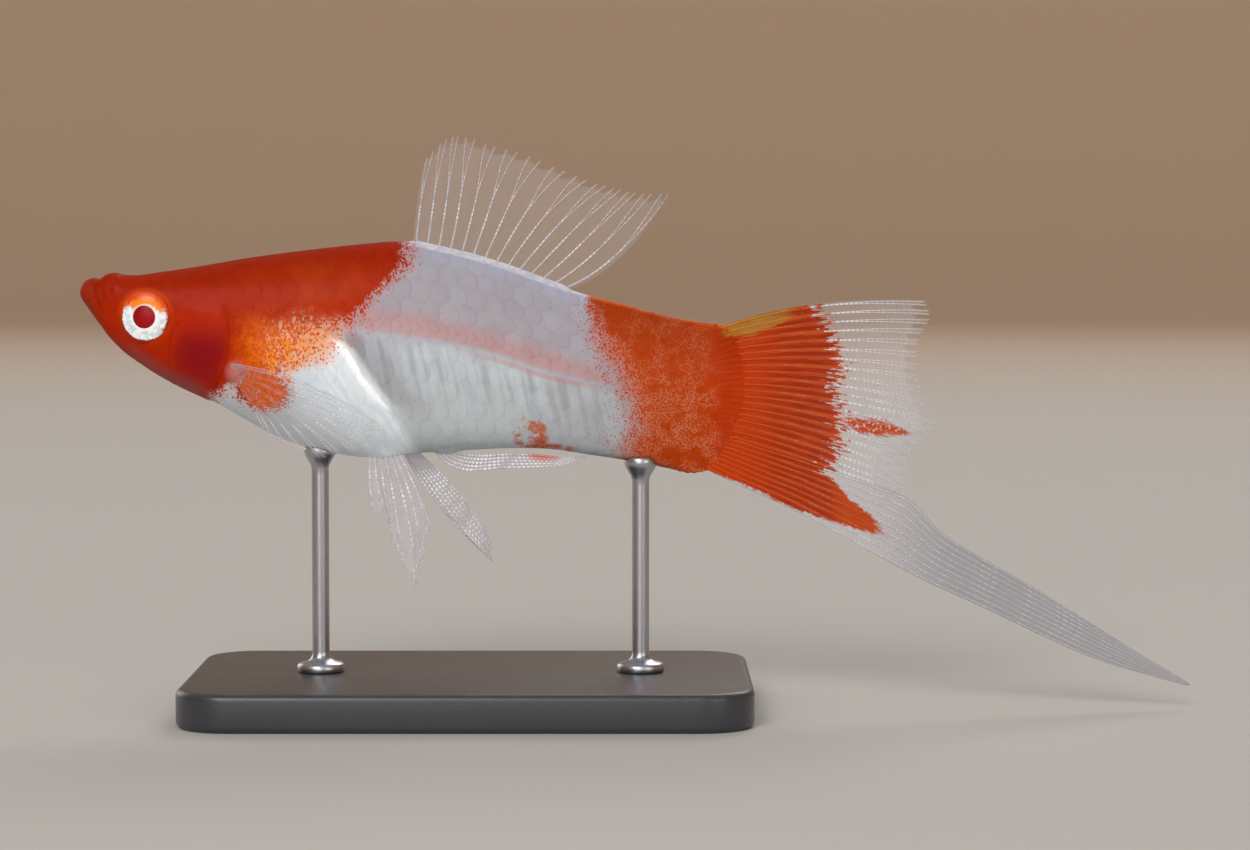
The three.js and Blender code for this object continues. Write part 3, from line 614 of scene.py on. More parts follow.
class Paint:
    """A material, the nodes that colour it and the shader that they feed."""

    def __init__(self, name, **constants):
        self.material = bpy.data.materials.new(name)
        self.material.use_nodes = True
        self.tree = self.material.node_tree
        self.shader = self.tree.nodes["Principled BSDF"]
        for socket, value in constants.items():
            self.put(self.shader.inputs[socket.replace("_", " ")], value)

    def put(self, socket, value):
        if isinstance(value, Number):
            value = value.socket
        if isinstance(value, bpy.types.NodeSocket):
            self.tree.links.new(value, socket)
            return
        if hasattr(socket.default_value, "__len__") and len(socket.default_value) == 4 and len(value) == 3:
            value = (*value, 1)
        socket.default_value = value

    def node(self, kind, settings=None, values=None):
        """A node of any kind. Its settings are set first, then the values or links of its sockets."""
        made = self.tree.nodes.new(kind)
        for key, value in (settings or {}).items():
            setattr(made, key, value)
        for key, value in (values or {}).items():
            self.put(made.inputs[key], value)
        return made

    def feed(self, **sockets):
        for socket, value in sockets.items():
            self.put(self.shader.inputs[socket.replace("_", " ")], value)
        return self.material

    def place(self):
        """The place on the piece in millimetres of the fish's frame, as a vector and as its three numbers."""
        object_place = self.node("ShaderNodeTexCoord").outputs["Object"]
        scaled = self.vector_sum("SCALE", {0: object_place, 3: 1 / MM})
        moved = self.vector_sum("SUBTRACT", {0: scaled, 1: (0, 0, LEVEL)})
        return moved, *self.parts(moved)

    def vector_sum(self, operation, values):
        return self.node("ShaderNodeVectorMath", {"operation": operation}, values).outputs[0]

    def parts(self, vector):
        split = self.node("ShaderNodeSeparateXYZ", None, {0: vector})
        return [Number(self, socket) for socket in split.outputs]

    def vector(self, x, y, z):
        return self.node("ShaderNodeCombineXYZ", None, {0: x, 1: y, 2: z}).outputs[0]

    def attribute(self, name):
        node = self.node("ShaderNodeAttribute", {"attribute_name": name})
        return Number(self, node.outputs["Fac"])

    def noise(self, place, size, detail=2, rough=0.5):
        """Soft noise from 0 to 1 whose lumps are about size across."""
        node = self.node("ShaderNodeTexNoise", None, {"Vector": place, "Scale": 1 / size, "Detail": detail,
                                                      "Roughness": rough})
        return Number(self, node.outputs[0])

    def cells(self, place, size):
        """How far a place is from the middle of its cell, in cells, and a number drawn for the cell."""
        node = self.node("ShaderNodeTexVoronoi", None, {"Vector": place, "Scale": 1 / size})
        drawn = self.node("ShaderNodeSeparateColor", None, {0: node.outputs["Color"]})
        return Number(self, node.outputs["Distance"]), Number(self, drawn.outputs[0])

    def shaken(self, place, size, amount):
        """The place moved about by noise, so that what is drawn there has ragged outlines."""
        noise = self.node("ShaderNodeTexNoise", None, {"Vector": place, "Scale": 1 / size}).outputs["Color"]
        centred = self.vector_sum("SUBTRACT", {0: noise, 1: (0.5, 0.5, 0.5)})
        scaled = self.vector_sum("SCALE", {0: centred, 3: amount})
        return self.vector_sum("ADD", {0: place, 1: scaled})

    def curve(self, value, points):
        """The second numbers of a list of points, read smoothly at the first ones."""
        firsts, seconds = np.array(points, float).T
        low, high = seconds.min(), seconds.max()
        share = (value - float(firsts[0])) / float(firsts[-1] - firsts[0])
        node = self.node("ShaderNodeFloatCurve", None, {1: share})
        line = node.mapping.curves[0].points
        for first, second in zip(firsts, seconds):
            at = ((first - firsts[0]) / (firsts[-1] - firsts[0]), (second - low) / (high - low))
            if first in (firsts[0], firsts[-1]):
                line[0 if first == firsts[0] else len(line) - 1].location = at
            else:
                line.new(*at)
        node.mapping.update()
        return Number(self, node.outputs[0]) * float(high - low) + float(low)

    def blend(self, share, first, second):
        """A colour between two colours."""
        node = self.node("ShaderNodeMix", {"data_type": "RGBA"}, {0: share, 6: first, 7: second})
        return node.outputs[2]

    def bump(self, height, distance):
        """A normal from a height that goes from 0 to 1 over a real distance in millimetres."""
        return self.node("ShaderNodeBump", None, {"Height": height, "Distance": distance * MM}).outputs[0]


def colour_property(name, description, colour):
    return FloatVectorProperty(
        name=name, description=description, subtype="COLOR", size=3, min=0, max=1, default=colour
    )


class SwordtailSkinColours(bpy.types.PropertyGroup):
    """Colours of the skin and the scales."""

    red: colour_property("Head red", "The head and the back", srgb(180, 40, 1))
    orange: colour_property("Orange", "The lower shoulder and the rear patch", srgb(198, 72, 8))
    crimson: colour_property("Gill crimson", "The gills showing through their cover", srgb(138, 14, 24))
    jaw: colour_property("Jaw", "The tip of the lower jaw", srgb(164, 54, 22))
    throat: colour_property("Throat", "The thin skin under the head", srgb(146, 84, 84))
    flank: colour_property("Flank", "The pale side below the back", srgb(168, 162, 170))
    belly: colour_property("Belly", "The white side and belly", srgb(199, 206, 210))
    silver: colour_property("Silver", "The bright area behind the gill cover", srgb(222, 236, 243))
    pink: colour_property("Pink band", "The flesh showing along the side", srgb(200, 140, 138))
    back: colour_property("Back line", "The strip under the dorsal fin", srgb(180, 180, 204))
    worn: colour_property("Worn orange", "The skin between the specks of the rear patch", srgb(200, 96, 50))
    fleck: colour_property("Bright flecks", "The flecks behind the gill cover", srgb(248, 116, 18))
    gold: colour_property("Gold", "The shine between those flecks", srgb(246, 144, 34))
    olive: colour_property("Olive", "The yellow upper corner of the tail", srgb(182, 138, 42))


class SwordtailScaleSizes(bpy.types.PropertyGroup):
    """Sizes of the scales."""

    rows: IntProperty(name="Rows", description="Rows of scales round the body, an even number",
                      default=SCALE_ROWS, min=12, max=40)
    pitch: FloatProperty(name="Pitch", description="Distance between scales along a row, in millimetres",
                         default=SCALE_PITCH, min=1, max=4)


class SwordtailFinLooks(bpy.types.PropertyGroup):
    """Looks of the fins."""

    web_cover: FloatProperty(name="Web cover", description="How much the clear web hides what is behind it",
                             subtype="FACTOR", default=0.1, min=0, max=1)
    ray_width: FloatProperty(name="Ray width", description="Share of the rays' usual width", subtype="FACTOR",
                             default=1, min=0.3, max=2)
    web: colour_property("Web", "The clear web between the rays", srgb(206, 202, 208))
    # The colour of the bright pieces of the rays, which are partly paler segments and partly painted glints.
    ray: colour_property("Ray", "The rays between their bright joints", srgb(192, 188, 193))
    bead_glint: colour_property("Bead", "The bright pieces of the rays", srgb(244, 244, 248))
    orange: colour_property("Orange web", "The orange part of the tail fin", srgb(172, 46, 6))
    tan: colour_property("Tan rays", "The rays in the orange part", srgb(216, 130, 72))
    filament: colour_property("Sword web", "The grey web of the sword", srgb(160, 162, 166))


class SwordtailEyeColours(bpy.types.PropertyGroup):
    """Colours of the eyes."""

    pupil: colour_property("Pupil", "The crimson pupil", srgb(178, 14, 22))
    silver: colour_property("Silver", "The bright iris", srgb(250, 252, 252))
    shade: colour_property("Shade", "Blue-grey marks in the iris", srgb(180, 200, 206))
    amber: colour_property("Amber", "The upper part of the iris", srgb(250, 134, 6))
    rim: colour_property("Rim", "The orange edge of the iris", srgb(222, 66, 8))
    dark: colour_property("Dark rim", "The lower edge of the iris", srgb(150, 36, 10))


class SwordtailStandLooks(bpy.types.PropertyGroup):
    """Looks of the display stand."""

    lacquer: colour_property("Lacquer", "The satin base", srgb(44, 46, 50))
    steel: colour_property("Steel", "The brushed rods", srgb(188, 190, 194))


class SwordtailStageLooks(bpy.types.PropertyGroup):
    """The floor, the backdrop, the lights and the camera."""

    floor: colour_property("Floor", "The pale floor round the stand", srgb(192, 188, 182))
    backdrop: colour_property("Backdrop", "The plain wall behind", srgb(212, 186, 160))
    key_power: FloatProperty(name="Key light", description="Power of the main light", unit="POWER",
                             default=4.1)
    lens: FloatProperty(name="Lens", description="Focal length", unit="CAMERA", default=100)
    elevation: FloatProperty(name="Elevation", description="How far the camera looks down", subtype="ANGLE",
                             default=math.radians(3.5))


def fleck_cover(paint, density, place, size):
    """Where specks of pigment lie: none where the density is 0, scattered round specks that grow and join
    as it rises, and all of the surface at 1."""
    distance, drawn = paint.cells(place, size)
    there = (density * 1.2 - drawn).ease(0, 0.12)
    spot = 1 - (distance - density * 0.36).ease(0.14, 0.32)
    return (there * spot).most(density.ease(0.84, 1))


def breast_patch(paint, x, z):
    """The orange patch over the root of the breast fin, on the skin and on the fin."""
    ragged = paint.noise(paint.vector(x, 0, z), 1.1, 3, 0.7)
    return (blot(x, z, *BREAST_PATCH) * (0.2 + ragged * 1.9)).least(1)


def blot(x, z, middle, reach):
    """A soft patch: 1 round its middle, falling to 0 at its reach to the sides and up and down."""
    return 1 - ((x - middle[0]) / reach[0]).distance((z - middle[1]) / reach[1]).ease(0.35, 1)


def olive_part(x, z, grain):
    """The olive corner at the upper root of the tail fin."""
    above = z - 3.6 - (x - 26).most(0) * 0.44 + (grain - 0.5) * 0.6
    return above.ease(-0.1, 0.3) * x.between(23, 24, 28.5, 30.5)


def red_colour(paint, colours, place, x, z):
    """The red of the head and shoulder, with its jaw, gill, throat and eye ring, and painted shade in the
    mouth slit, along the gill cover and cheek and under the snout.
    """
    cloud = paint.noise(place, 3.2, 3, 0.6)
    deep = dim(colours.red, 0.66)
    red = paint.blend(paint.noise(place, 0.8, 4, 0.65).ease(0.35, 0.7) * 0.4, colours.red, deep)
    red = paint.blend(blot(x, z, *SHOULDER_GLOW) * cloud.ease(0.3, 0.6) * 0.35, red, colours.orange)
    # Painted shade: darker red in the groove of the mouth slit at the front of the snout.
    red = paint.blend(x.near(-34.0, 0.5, 1.3) * z.ease(5.6, 7) * 0.35, red, deep)
    red = paint.blend((x + z * 0.2).fall(-33.4, -32.6) * 0.5, red, colours.jaw)
    past_gill = x - paint.curve(z, [(place_z, place_x) for place_x, place_z in reversed(GILL_EDGE)])
    past_cheek = x - paint.curve(z, [(place_z, place_x) for place_x, place_z in reversed(CHEEK_LINE)])
    under_cover = past_cheek.ease(-0.2, 1.2) * past_gill.fall(-0.4, 0.05)
    crimson = under_cover * z.ease(-3, 0.5) * (z + cloud * 2).fall(3.4, 7)
    crimson = crimson * (0.5 + blot(x, z, *GILL_PATCH) * 0.38)
    red = paint.blend(crimson, red, colours.crimson)
    # Painted shade: thin dark lines along the edge of the gill cover and along the cheek groove.
    dark = dim(colours.crimson, 0.4)
    line = (past_gill - 0.1).near(0, 0.03, 0.2) * z.between(-2.4, -0.6, 4.6, 7) * 0.25
    line = line.most(past_cheek.near(0, 0.03, 0.18) * z.between(-1.6, 0, 4, 5.4) * 0.2)
    red = paint.blend(line, red, dark)
    belly = paint.curve(x, [(row[0], row[2]) for row in BODY[3:13]])
    throat = (z - belly + cloud * 1.4).fall(0.8, 2.8) * x.near(-28.0, 2.2, 5.0)
    red = paint.blend(throat * 0.75, red, colours.throat)
    # Painted shade: darker red along the underside of the snout.
    lower = (z - belly).fall(0.2, 1.6) * x.fall(-33, -26)
    red = paint.blend(lower * 0.4, red, deep)
    glow = (x - EYE["x"]).distance(z - EYE["z"]).near(2.25, 0.1, 0.65)
    return paint.blend(glow * (0.05 + z.ease(5, 7.5) * 0.25) * (0.5 + cloud), red, colours.fleck)


def pale_colour(paint, colours, place, x, z):
    """The white and silver side with its pink band and pale back, painted white glints along the top of the
    back, painted sheen over the silver, and the gleam, a white streak painted as a highlight. Also gives
    where the side shines and glows: the gleam, and the silver more faintly.
    """
    back = paint.curve(x, [(row[0], row[1]) for row in BODY[12:]])
    foot = paint.curve(x, BAND_FOOT)
    top = paint.curve(x, BAND_TOP)
    grain = paint.noise(paint.vector(x + z * 0.22, 0, z * 0.1), 1.0, 2, 0.5)
    cloud = paint.noise(place, 2.6, 2, 0.6)
    above_foot = z - foot
    dull = dim(colours.flank, 0.72)
    pale = paint.blend(above_foot.ease(-1.5, 1.5), colours.belly, colours.flank)
    below = 1 - above_foot.ease(-0.6, 0.4)
    streaks = grain.ease(0.42, 0.66) * below * above_foot.ease(-7, -2)
    pale = paint.blend(streaks * 0.5, pale, dull)
    pale = paint.blend(cloud.ease(0.4, 0.75) * (0.08 + below * 0.25), pale, colours.silver)
    pale = paint.blend(x.ease(3, 13) * z.fall(-1, 2) * 0.45, pale, dull)

    muscle = ((x + z * 0.35) / 2.7 + cloud * 0.15).fraction().near(0.5, 0.02, 0.13)
    upper = (z - top).ease(0, 0.8) * (back - z).ease(0.6, 1.6) * cloud.ease(0.35, 0.6)
    pale = paint.blend(muscle * upper * 0.2, pale, colours.pink)
    lengthwise = x.between(-13.5, -9, 11, 15)
    band = above_foot.ease(-0.15, 0.5) * (z - top).fall(-1.5, 0.6) * lengthwise
    pale = paint.blend(band * (0.42 + cloud * 0.4), pale, colours.pink)
    chevron = ((x + abs(above_foot - 1.1) * 0.9) / SCALE_PITCH).fraction().near(0.5, 0.03, 0.17)
    pale = paint.blend(chevron * above_foot.near(1.1, 0.2, 0.8) * lengthwise * 0.12, pale, colours.crimson)
    pale = paint.blend(above_foot.near(0, 0.02, 0.24) * lengthwise * 0.38, pale, colours.back)
    peach = above_foot.near(-0.4, 0.05, 0.4) * x.between(-1, 3, 10, 13)
    pale = paint.blend(peach * 0.5, pale, colours.pink)

    dorsal = x.ease(-7, -5)
    pale = paint.blend((back - z).fall(0.3, 2.2) * dorsal * (0.3 + cloud * 0.5), pale, colours.back)
    # Painted highlight: white glints along the top edge of the back, from under the dorsal fin backwards.
    glint = paint.noise(place, 0.5, 2).ease(0.4, 0.6) * 0.5 + 0.5
    pale = paint.blend((back - z).fall(0.1, 0.4) * dorsal * glint * 0.45, pale, WHITE)

    ahead = x - paint.curve(z, GLEAM)
    silver = ahead.fall(-0.6, 0.6) * z.fall(2.5, 5)
    pale = paint.blend(silver * (0.35 + cloud * 0.4), pale, colours.silver)
    # Painted sheen: white streaks over the silver area.
    sheen = paint.noise(paint.vector(ahead, 0, z * 0.3), 0.8, 3, 0.6).ease(0.45, 0.7)
    pale = paint.blend(silver * sheen * ahead.ease(-7, -2) * 0.6, pale, WHITE)
    # Painted shade: the lower breast turns darker towards the edge of the belly.
    belly = paint.curve(x, [(row[0], row[2]) for row in BODY[3:15]])
    breast = (z - belly).fall(0.8, 4) * x.near(-18.0, 4, 9) * (0.3 + cloud * 0.4)
    pale = paint.blend(breast, pale, dull)
    shade = ahead.between(0.5, 1.3, 2, 5.5) * z.ease(-5, -1) * above_foot.fall(-1, 0.4)
    pale = paint.blend(shade * (0.3 + grain * 0.6), pale, dull)
    # The gleam behind the gill cover: a white streak over the fish's silver, painted as a highlight with soft
    # ragged edges.
    ends = z.between(-3.8, -1.2, 2.4, 4.4)
    off = ahead + (grain - 0.5) * 0.6
    off = off.most(off * -0.55) / (0.1 + ends * 0.42)
    gleam = (off.fall(0.1, 1.3) * (0.65 + cloud * 0.5)).most(off.fall(0.5, 2.8) * 0.4)
    gleam = (gleam * ends.ease(0, 0.5)).least(1)
    return paint.blend(gleam, pale, WHITE), gleam.most(silver * 0.4)


def body_paint(name, colours, plates=False):
    """The finish of the skin and of the scales over it, with the same markings, painted shade and highlights,
    and a faint painted glow where the side shines.
    """
    paint = Paint(name, IOR=1.36, Specular_IOR_Level=0.07, Subsurface_Weight=0.1,
                  Subsurface_Radius=(1.0, 0.45, 0.3), Subsurface_Scale=0.0008, Coat_Roughness=0.2,
                  Emission_Strength=0.22)
    place, x, _, z = paint.place()
    ragged = paint.shaken(place, 0.7, 0.5)
    red = red_colour(paint, colours, place, x, z)
    pale, shine = pale_colour(paint, colours, place, x, z)

    clumps = paint.noise(place, 1.5, 3, 0.6)
    streaks = paint.noise(paint.vector(x, 0, z * 0.3), 0.8, 2, 0.5)
    low = z.fall(4.2, 6.4) * (0.1 + z.ease(-0.4, 1.6) * 0.9)
    wander = (clumps - 0.5) * 2.4 + (streaks - 0.5) * low * 5 - low * 0.8
    past_front = x - paint.curve(z, FRONT_RED_ENDS) + wander
    front = 1 - (past_front / (1 + low * 1.8)).ease(-1.5, 1.7)
    # lit is the zone behind the gill cover with brighter flecks and gold between them: the fish's own flecks
    # with a painted gold sheen.
    lit = (x + clumps * 3).ease(-20.5, -17.5) * (z + clumps * 3).fall(4.6, 8.4) * x.fall(-13, -10)
    lit = lit * (z + (streaks - 0.5) * 5).ease(-0.8, 0.8)
    front = front - lit * front * (0.08 + streaks.ease(0.38, 0.62) * 0.24) * x.ease(-20, -16)
    front = front.most(breast_patch(paint, x, z) * 0.95)
    dot_x, dot_y, dot_z = paint.parts(ragged)
    front_cover = fleck_cover(paint, front, paint.vector(dot_x, dot_y, dot_z * 0.7), 0.2)

    before_rear = paint.curve(z, REAR_RED_STARTS) - x + (clumps - 0.5) * 3.2
    rear = 1 - (before_rear / (0.8 + z.fall(3, 7) * 1.1)).ease(-1.9, 2.1)
    mottle = paint.noise(place, 1.3, 3, 0.6)
    spot = blot(x, z, *BELLY_SPOT).most(blot(x, z, *BELLY_SPOT_FOOT) * 0.9)
    spot = (spot * ((clumps - 0.5) * 3.4 + (mottle - 0.5) * 2 + 0.75)).most(0).least(1)
    root = x.ease(21, 24)
    thin = mottle.ease(0.3, 0.65) * (0.1 + 0.16 * z.fall(-5, 3)) * (1 - root * 0.8) * x.ease(12.5, 15)
    rear_cover = fleck_cover(paint, (rear - thin).most(spot * 0.9), ragged, 0.16)
    worn = (rear.ease(0.35, 1) * 0.94).most(spot.ease(0.2, 0.7) * 0.75)
    pale = paint.blend(worn, pale, colours.worn)

    sparse = 1 - front.ease(0.25, 0.95)
    bright = paint.noise(place, 0.3, 3, 0.7).ease(0.4, 0.6)
    plain = paint.blend(sparse * 0.9, red, paint.blend(sparse * 0.4, colours.orange, colours.fleck))
    front_red = paint.blend(lit, plain, paint.blend(0.25 + bright * 0.6, colours.orange, colours.fleck))
    pale = paint.blend(front.ease(0.1, 0.95) * (1 - lit) * 0.45, pale, colours.orange)
    # The gold between the flecks there: partly the fish's gold, partly painted sheen.
    gold_and_sheen = lit * front.ease(0.03, 0.7) * (0.7 + streaks.ease(0.4, 0.6) * 0.3)
    pale = paint.blend(gold_and_sheen, pale, colours.gold)
    grain = paint.noise(place, 0.26, 3, 0.7)
    deep = dim(colours.orange, 0.84)
    rear_red = paint.blend(grain.ease(0.4, 0.62) * 0.45, deep, colours.red)
    rear_red = paint.blend(root * 0.5, rear_red, colours.red)
    rear_red = paint.blend(spot.ease(0, 0.3) * 0.3, rear_red, colours.fleck)
    rear_red = paint.blend(olive_part(x, z, grain) * grain.ease(0.3, 0.6) * 0.8, rear_red, colours.olive)
    # Painted highlight: bright orange specks along the top edge of the rear body.
    edge = paint.curve(x, [(row[0], row[1]) for row in BODY[18:]]) - z
    rear_red = paint.blend(edge.fall(0.1, 0.45) * grain.ease(0.35, 0.6) * 0.7, rear_red, colours.fleck)
    colour = paint.blend(rear_cover, paint.blend(front_cover, pale, front_red), rear_red)
    lobe = blot(x, z, *FIN_LOBE)
    colour = paint.blend(lobe * 0.5, colour, colours.pink)

    cover = front_cover.most(rear_cover).most(worn).most(gold_and_sheen * 0.7)
    # Painted shade: the colour darkens towards the back line, more where pigment covers the skin than on the
    # pale side.
    top = paint.curve(x, [(row[0], row[1]) for row in BODY])
    colour = paint.blend((top - z).fall(0.4, 5.5) * (0.08 + cover * 0.14), colour, BLACK)
    fine = paint.noise(place, 0.16, 3, 0.6)
    height = fine * 0.5
    if plates:
        rim = paint.attribute("rim")
        tint = paint.attribute("tint")
        colour = paint.blend(rim.ease(0.7, 1) * (1 - cover) * 0.05, colour, dim(colours.flank, 0.6))
        colour = paint.blend(tint * (1 - cover) * 0.08, colour, colours.silver)
        height = height + (tint * 9 + rim * 14).sine() * 0.04
    # Painted glow: where the gleam and the silver shine, away from the pigment, the skin glows faintly white
    # and is a little metallic.
    shine = shine * (1 - cover)
    return paint.feed(
        Base_Color=colour, Metallic=shine * 0.15, Roughness=0.34 + fine * 0.14 + cover * 0.06,
        Coat_Weight=0.03 + (1 - cover) * 0.12, Emission_Color=paint.blend(shine, BLACK, WHITE),
        Normal=paint.bump(height, 0.04),
    )


def fan(root, tip, angles, bend=0.45):
    """The side view of a fan of rays. Each leaves the root at its own angle and bends to its tip."""
    def at(across, t):
        x0, z0 = root(across)
        x2, z2 = tip(across)
        reach = bend * np.hypot(x2 - x0, z2 - z0)
        angle = np.radians(np.interp(across, np.linspace(0, 1, len(angles)), angles))
        x1 = x0 + reach * np.cos(angle)
        z1 = z0 + reach * np.sin(angle)
        s = 1 - t
        return s * s * x0 + 2 * s * t * x1 + t * t * x2, s * s * z0 + 2 * s * t * z1 + t * t * z2
    return at


def ray_across(ray, rays):
    """The share across a fin at which a ray runs. A ray number may lie between two rays."""
    return (ray + RAY_FLANK) / ray_steps(rays)


def web_piece(name, at, rays, material, margin=(0.02, 0.05), pleat=0.05, thickness=0.07, rows=30, columns=7):
    """The web of a fin: a thin closed sheet, a little pleated between the rays. margin holds how far its
    edge stays back from the tips of the rays and how much further between them."""
    bm = bmesh.new()
    bmesh.ops.create_grid(bm, x_segments=columns * rays, y_segments=rows, size=1)
    number = bm.verts.layers.float.new("ray")
    for vertex in bm.verts:
        vertex[number] = (vertex.co.x + 1) / 2 * ray_steps(rays) - RAY_FLANK

    def place(points):
        across, t = (points[:, 0] + 1) / 2, (points[:, 1] + 1) / 2
        phase = np.pi * (across * ray_steps(rays) - RAY_FLANK)
        x, y, z = at(across, t * (1 - (margin[0] + margin[1] * np.sin(phase) ** 2) * t))
        return np.stack([x, y + pleat * np.sin(phase) * np.sin(np.pi * np.clip(t, 0, 1)), z], axis=-1)

    move_all(bm, place)
    bmesh.ops.recalc_face_normals(bm, faces=bm.faces[:])
    bm.normal_update()
    for vertex in bm.verts:
        vertex.co += vertex.normal * thickness / 2
    bmesh.ops.solidify(bm, geom=bm.faces[:], thickness=thickness)
    return finished(name, bm, material)


def ray_piece(name, at, rays, material, thick, width, splits, segment=0.42, spread=(0.17, 0.075), curl=0.0,
              start=-0.04, spokes=6, step=0.13):
    """The rays of a fin: jointed rods that split twice on the way to the edge. width holds half the width at
    the root and at the tips, of which thick gives a share, segment the length of one joint, and curl how far
    the tips bend to the next ray."""
    width = [half * thick for half in width]
    middle_x, _, middle_z = at(np.full(60, 0.5), np.linspace(0, 1, 60))
    length = np.hypot(np.diff(middle_x), np.diff(middle_z)).sum()
    first, second = splits
    stretches = [(start, first, [(0, 0)])]
    if first < 1:
        stretches.append((first - 0.01, second, [(-1, 0), (1, 0)]))
    if second < 1:
        stretches.append((second - 0.01, 1, [(-1, -1), (-1, 1), (1, -1), (1, 1)]))
    pieces = []
    for low, high, branches in stretches:
        rings = max(6, int((high - low) * length / step))
        shape = unit_ball(spokes, rings)
        share, angle = ball_shares(np.array([vertex.co[:] for vertex in shape.verts]))
        ends = (share < 1e-4) | (share > 1 - 1e-4)
        runs = [(ray, *branch) for ray in range(rays) for branch in branches]
        ray, half, quarter = (np.array(column, float)[:, None] for column in zip(*runs))
        t = low + (high - low) * share[None, :] + 0 * ray

        def path(t):
            offset = half * spread[0] * ease(t, first, 1.05) + quarter * spread[1] * ease(t, second, 1.05)
            offset = offset + curl * np.abs(t) ** 8
            return np.stack(at(ray_across(ray + offset, rays), t), axis=-1)

        centre = path(t)
        along = path(t + 0.01) - path(t - 0.01)
        along /= np.linalg.norm(along, axis=-1, keepdims=True)
        outward = np.array([0.0, 1.0, 0.0]) - along * along[..., 1:2]
        outward /= np.linalg.norm(outward, axis=-1, keepdims=True)
        beside = np.cross(along, outward)
        joints = t * length / segment + ray * 0.37
        beads = 0.94 + 0.12 * np.cos(2 * np.pi * joints)
        girth = mix(width[0], width[1], np.clip(t, 0, 1) ** 0.8) * beads
        girth = girth * np.where(np.abs(half) > 0, 0.86, 1)
        girth = np.where(ends[None, :], 0, girth)[..., None]
        turn = angle[None, :, None]
        places = centre + girth * (np.cos(turn) * beside + np.sin(turn) * outward)
        attributes = {"joint": joints, "reach": np.clip(t, 0, 1), "ray": ray + 0 * t}
        pieces.append((shape, places, attributes))
    return joined(name, pieces, material)


def dorsal_root(across):
    x = mix(DORSAL["front"], DORSAL["rear"], across)
    return x, section_at(x)[0] - DORSAL["sunk"]


DORSAL_FAN = fan(dorsal_root, side_line(DORSAL["tips"]), DORSAL["angles"])


def dorsal_at(across, t):
    x, z = DORSAL_FAN(across, t)
    return x, DORSAL["sway"] * t * t * np.sin(DORSAL["waves"] * across), z


def tail_root(degrees):
    """Where a ray of the tail fin or the sword begins, at an angle round the tail arc."""
    radius = TAIL_ARC["radius"] - RAY_SUNK
    angle = np.radians(degrees)
    return TAIL_ARC["x"] + radius * np.cos(angle), TAIL_ARC["z"] + radius * np.sin(angle)


def caudal_root(across):
    return tail_root(mix(TAIL_ARC["top"], TAIL_ARC["split"], across))


CAUDAL_TIPS = side_line(CAUDAL["tips"])
CAUDAL_FAN = fan(caudal_root, CAUDAL_TIPS, CAUDAL["angles"])


def caudal_sway(across, t):
    return CAUDAL["sway"] * t * t * np.sin(CAUDAL["phase"] + CAUDAL["waves"] * across)


def caudal_at(across, t):
    x, z = CAUDAL_FAN(across, t)
    return x, caudal_sway(across, t), z


SWORD_UPPER = side_line([tail_root(TAIL_ARC["split"]), *SWORD["upper"]])
SWORD_LOWER = side_line([tail_root(TAIL_ARC["foot"]), *SWORD["lower"]])


def sword_at(across, t):
    low_x, low_z = SWORD_LOWER(t)
    high_x, high_z = SWORD_UPPER(t)
    point = 1 + SWORD["point"] * np.sin(np.pi * across) * t ** 6
    root_x, tip_x = caudal_root(1)[0], CAUDAL_TIPS(1)[0]
    beside = np.clip((high_x - root_x) / (tip_x - root_x), 0, 1)
    y = caudal_sway(1, beside) * (1 - ease(t, 0.45, 1)) + SWORD["sway"] * t * t
    return mix(high_x, low_x, across) * point, y, mix(high_z, low_z, across) * point


PECTORAL_ROOT = side_line(PECTORAL["root"])
PECTORAL_FAN = fan(PECTORAL_ROOT, side_line(PECTORAL["tips"]), PECTORAL["angles"])


def pectoral_at(across, t):
    x, z = PECTORAL_FAN(across, t)
    root_x, root_z = PECTORAL_ROOT(across)
    away = np.tan(np.radians(PECTORAL["splay"])) * (x - root_x)
    curl = PECTORAL["curl"] * np.sin(np.pi * np.clip(t, 0, 1)) * np.sin(np.pi * across)
    return x, -(side_at(root_x, root_z) + PECTORAL["clear"]) - away - curl, z


def pelvic_at(fin):
    def root(across):
        x = mix(fin["from"], fin["to"], across)
        return x, section_at(x)[1] + PELVIC["sunk"]

    shape = fan(root, side_line(fin["tips"]), fin["angles"])

    def at(across, t):
        x, z = shape(across, t)
        sway = PELVIC["sway"] * t * t * np.sin(PELVIC["waves"] * across)
        return x, fin["side"] * (PELVIC["apart"] + fin["spread"] * t + sway), z
    return at


GONOPODIUM_LOWER = side_line(GONOPODIUM["lower"])
GONOPODIUM_UPPER = side_line(GONOPODIUM["upper"])


def gonopodium_at(across, t):
    low_x, low_z = GONOPODIUM_LOWER(t)
    high_x, high_z = GONOPODIUM_UPPER(t)
    return mix(high_x, low_x, across), 0 * across * t, mix(high_z, low_z, across)


def mirrored_at(at):
    def other(across, t):
        x, y, z = at(across, t)
        return x, -y, z
    return other


def clear_fin_tint(paint, x, z):
    """Where the clear fins carry orange: at the base of the breast fins and midway along the gonopodium."""
    flecks = fleck_cover(paint, breast_patch(paint, x, z) * 0.95, paint.vector(x, 0, z), 0.2)
    return flecks.most(blot(x, z, *GONOPODIUM_PATCH) * 0.7)


def vivid(skin):
    """The orange of the patches on clear fins."""
    return tuple(mix(plain, bright, 0.35) for plain, bright in zip(skin.orange, skin.fleck))


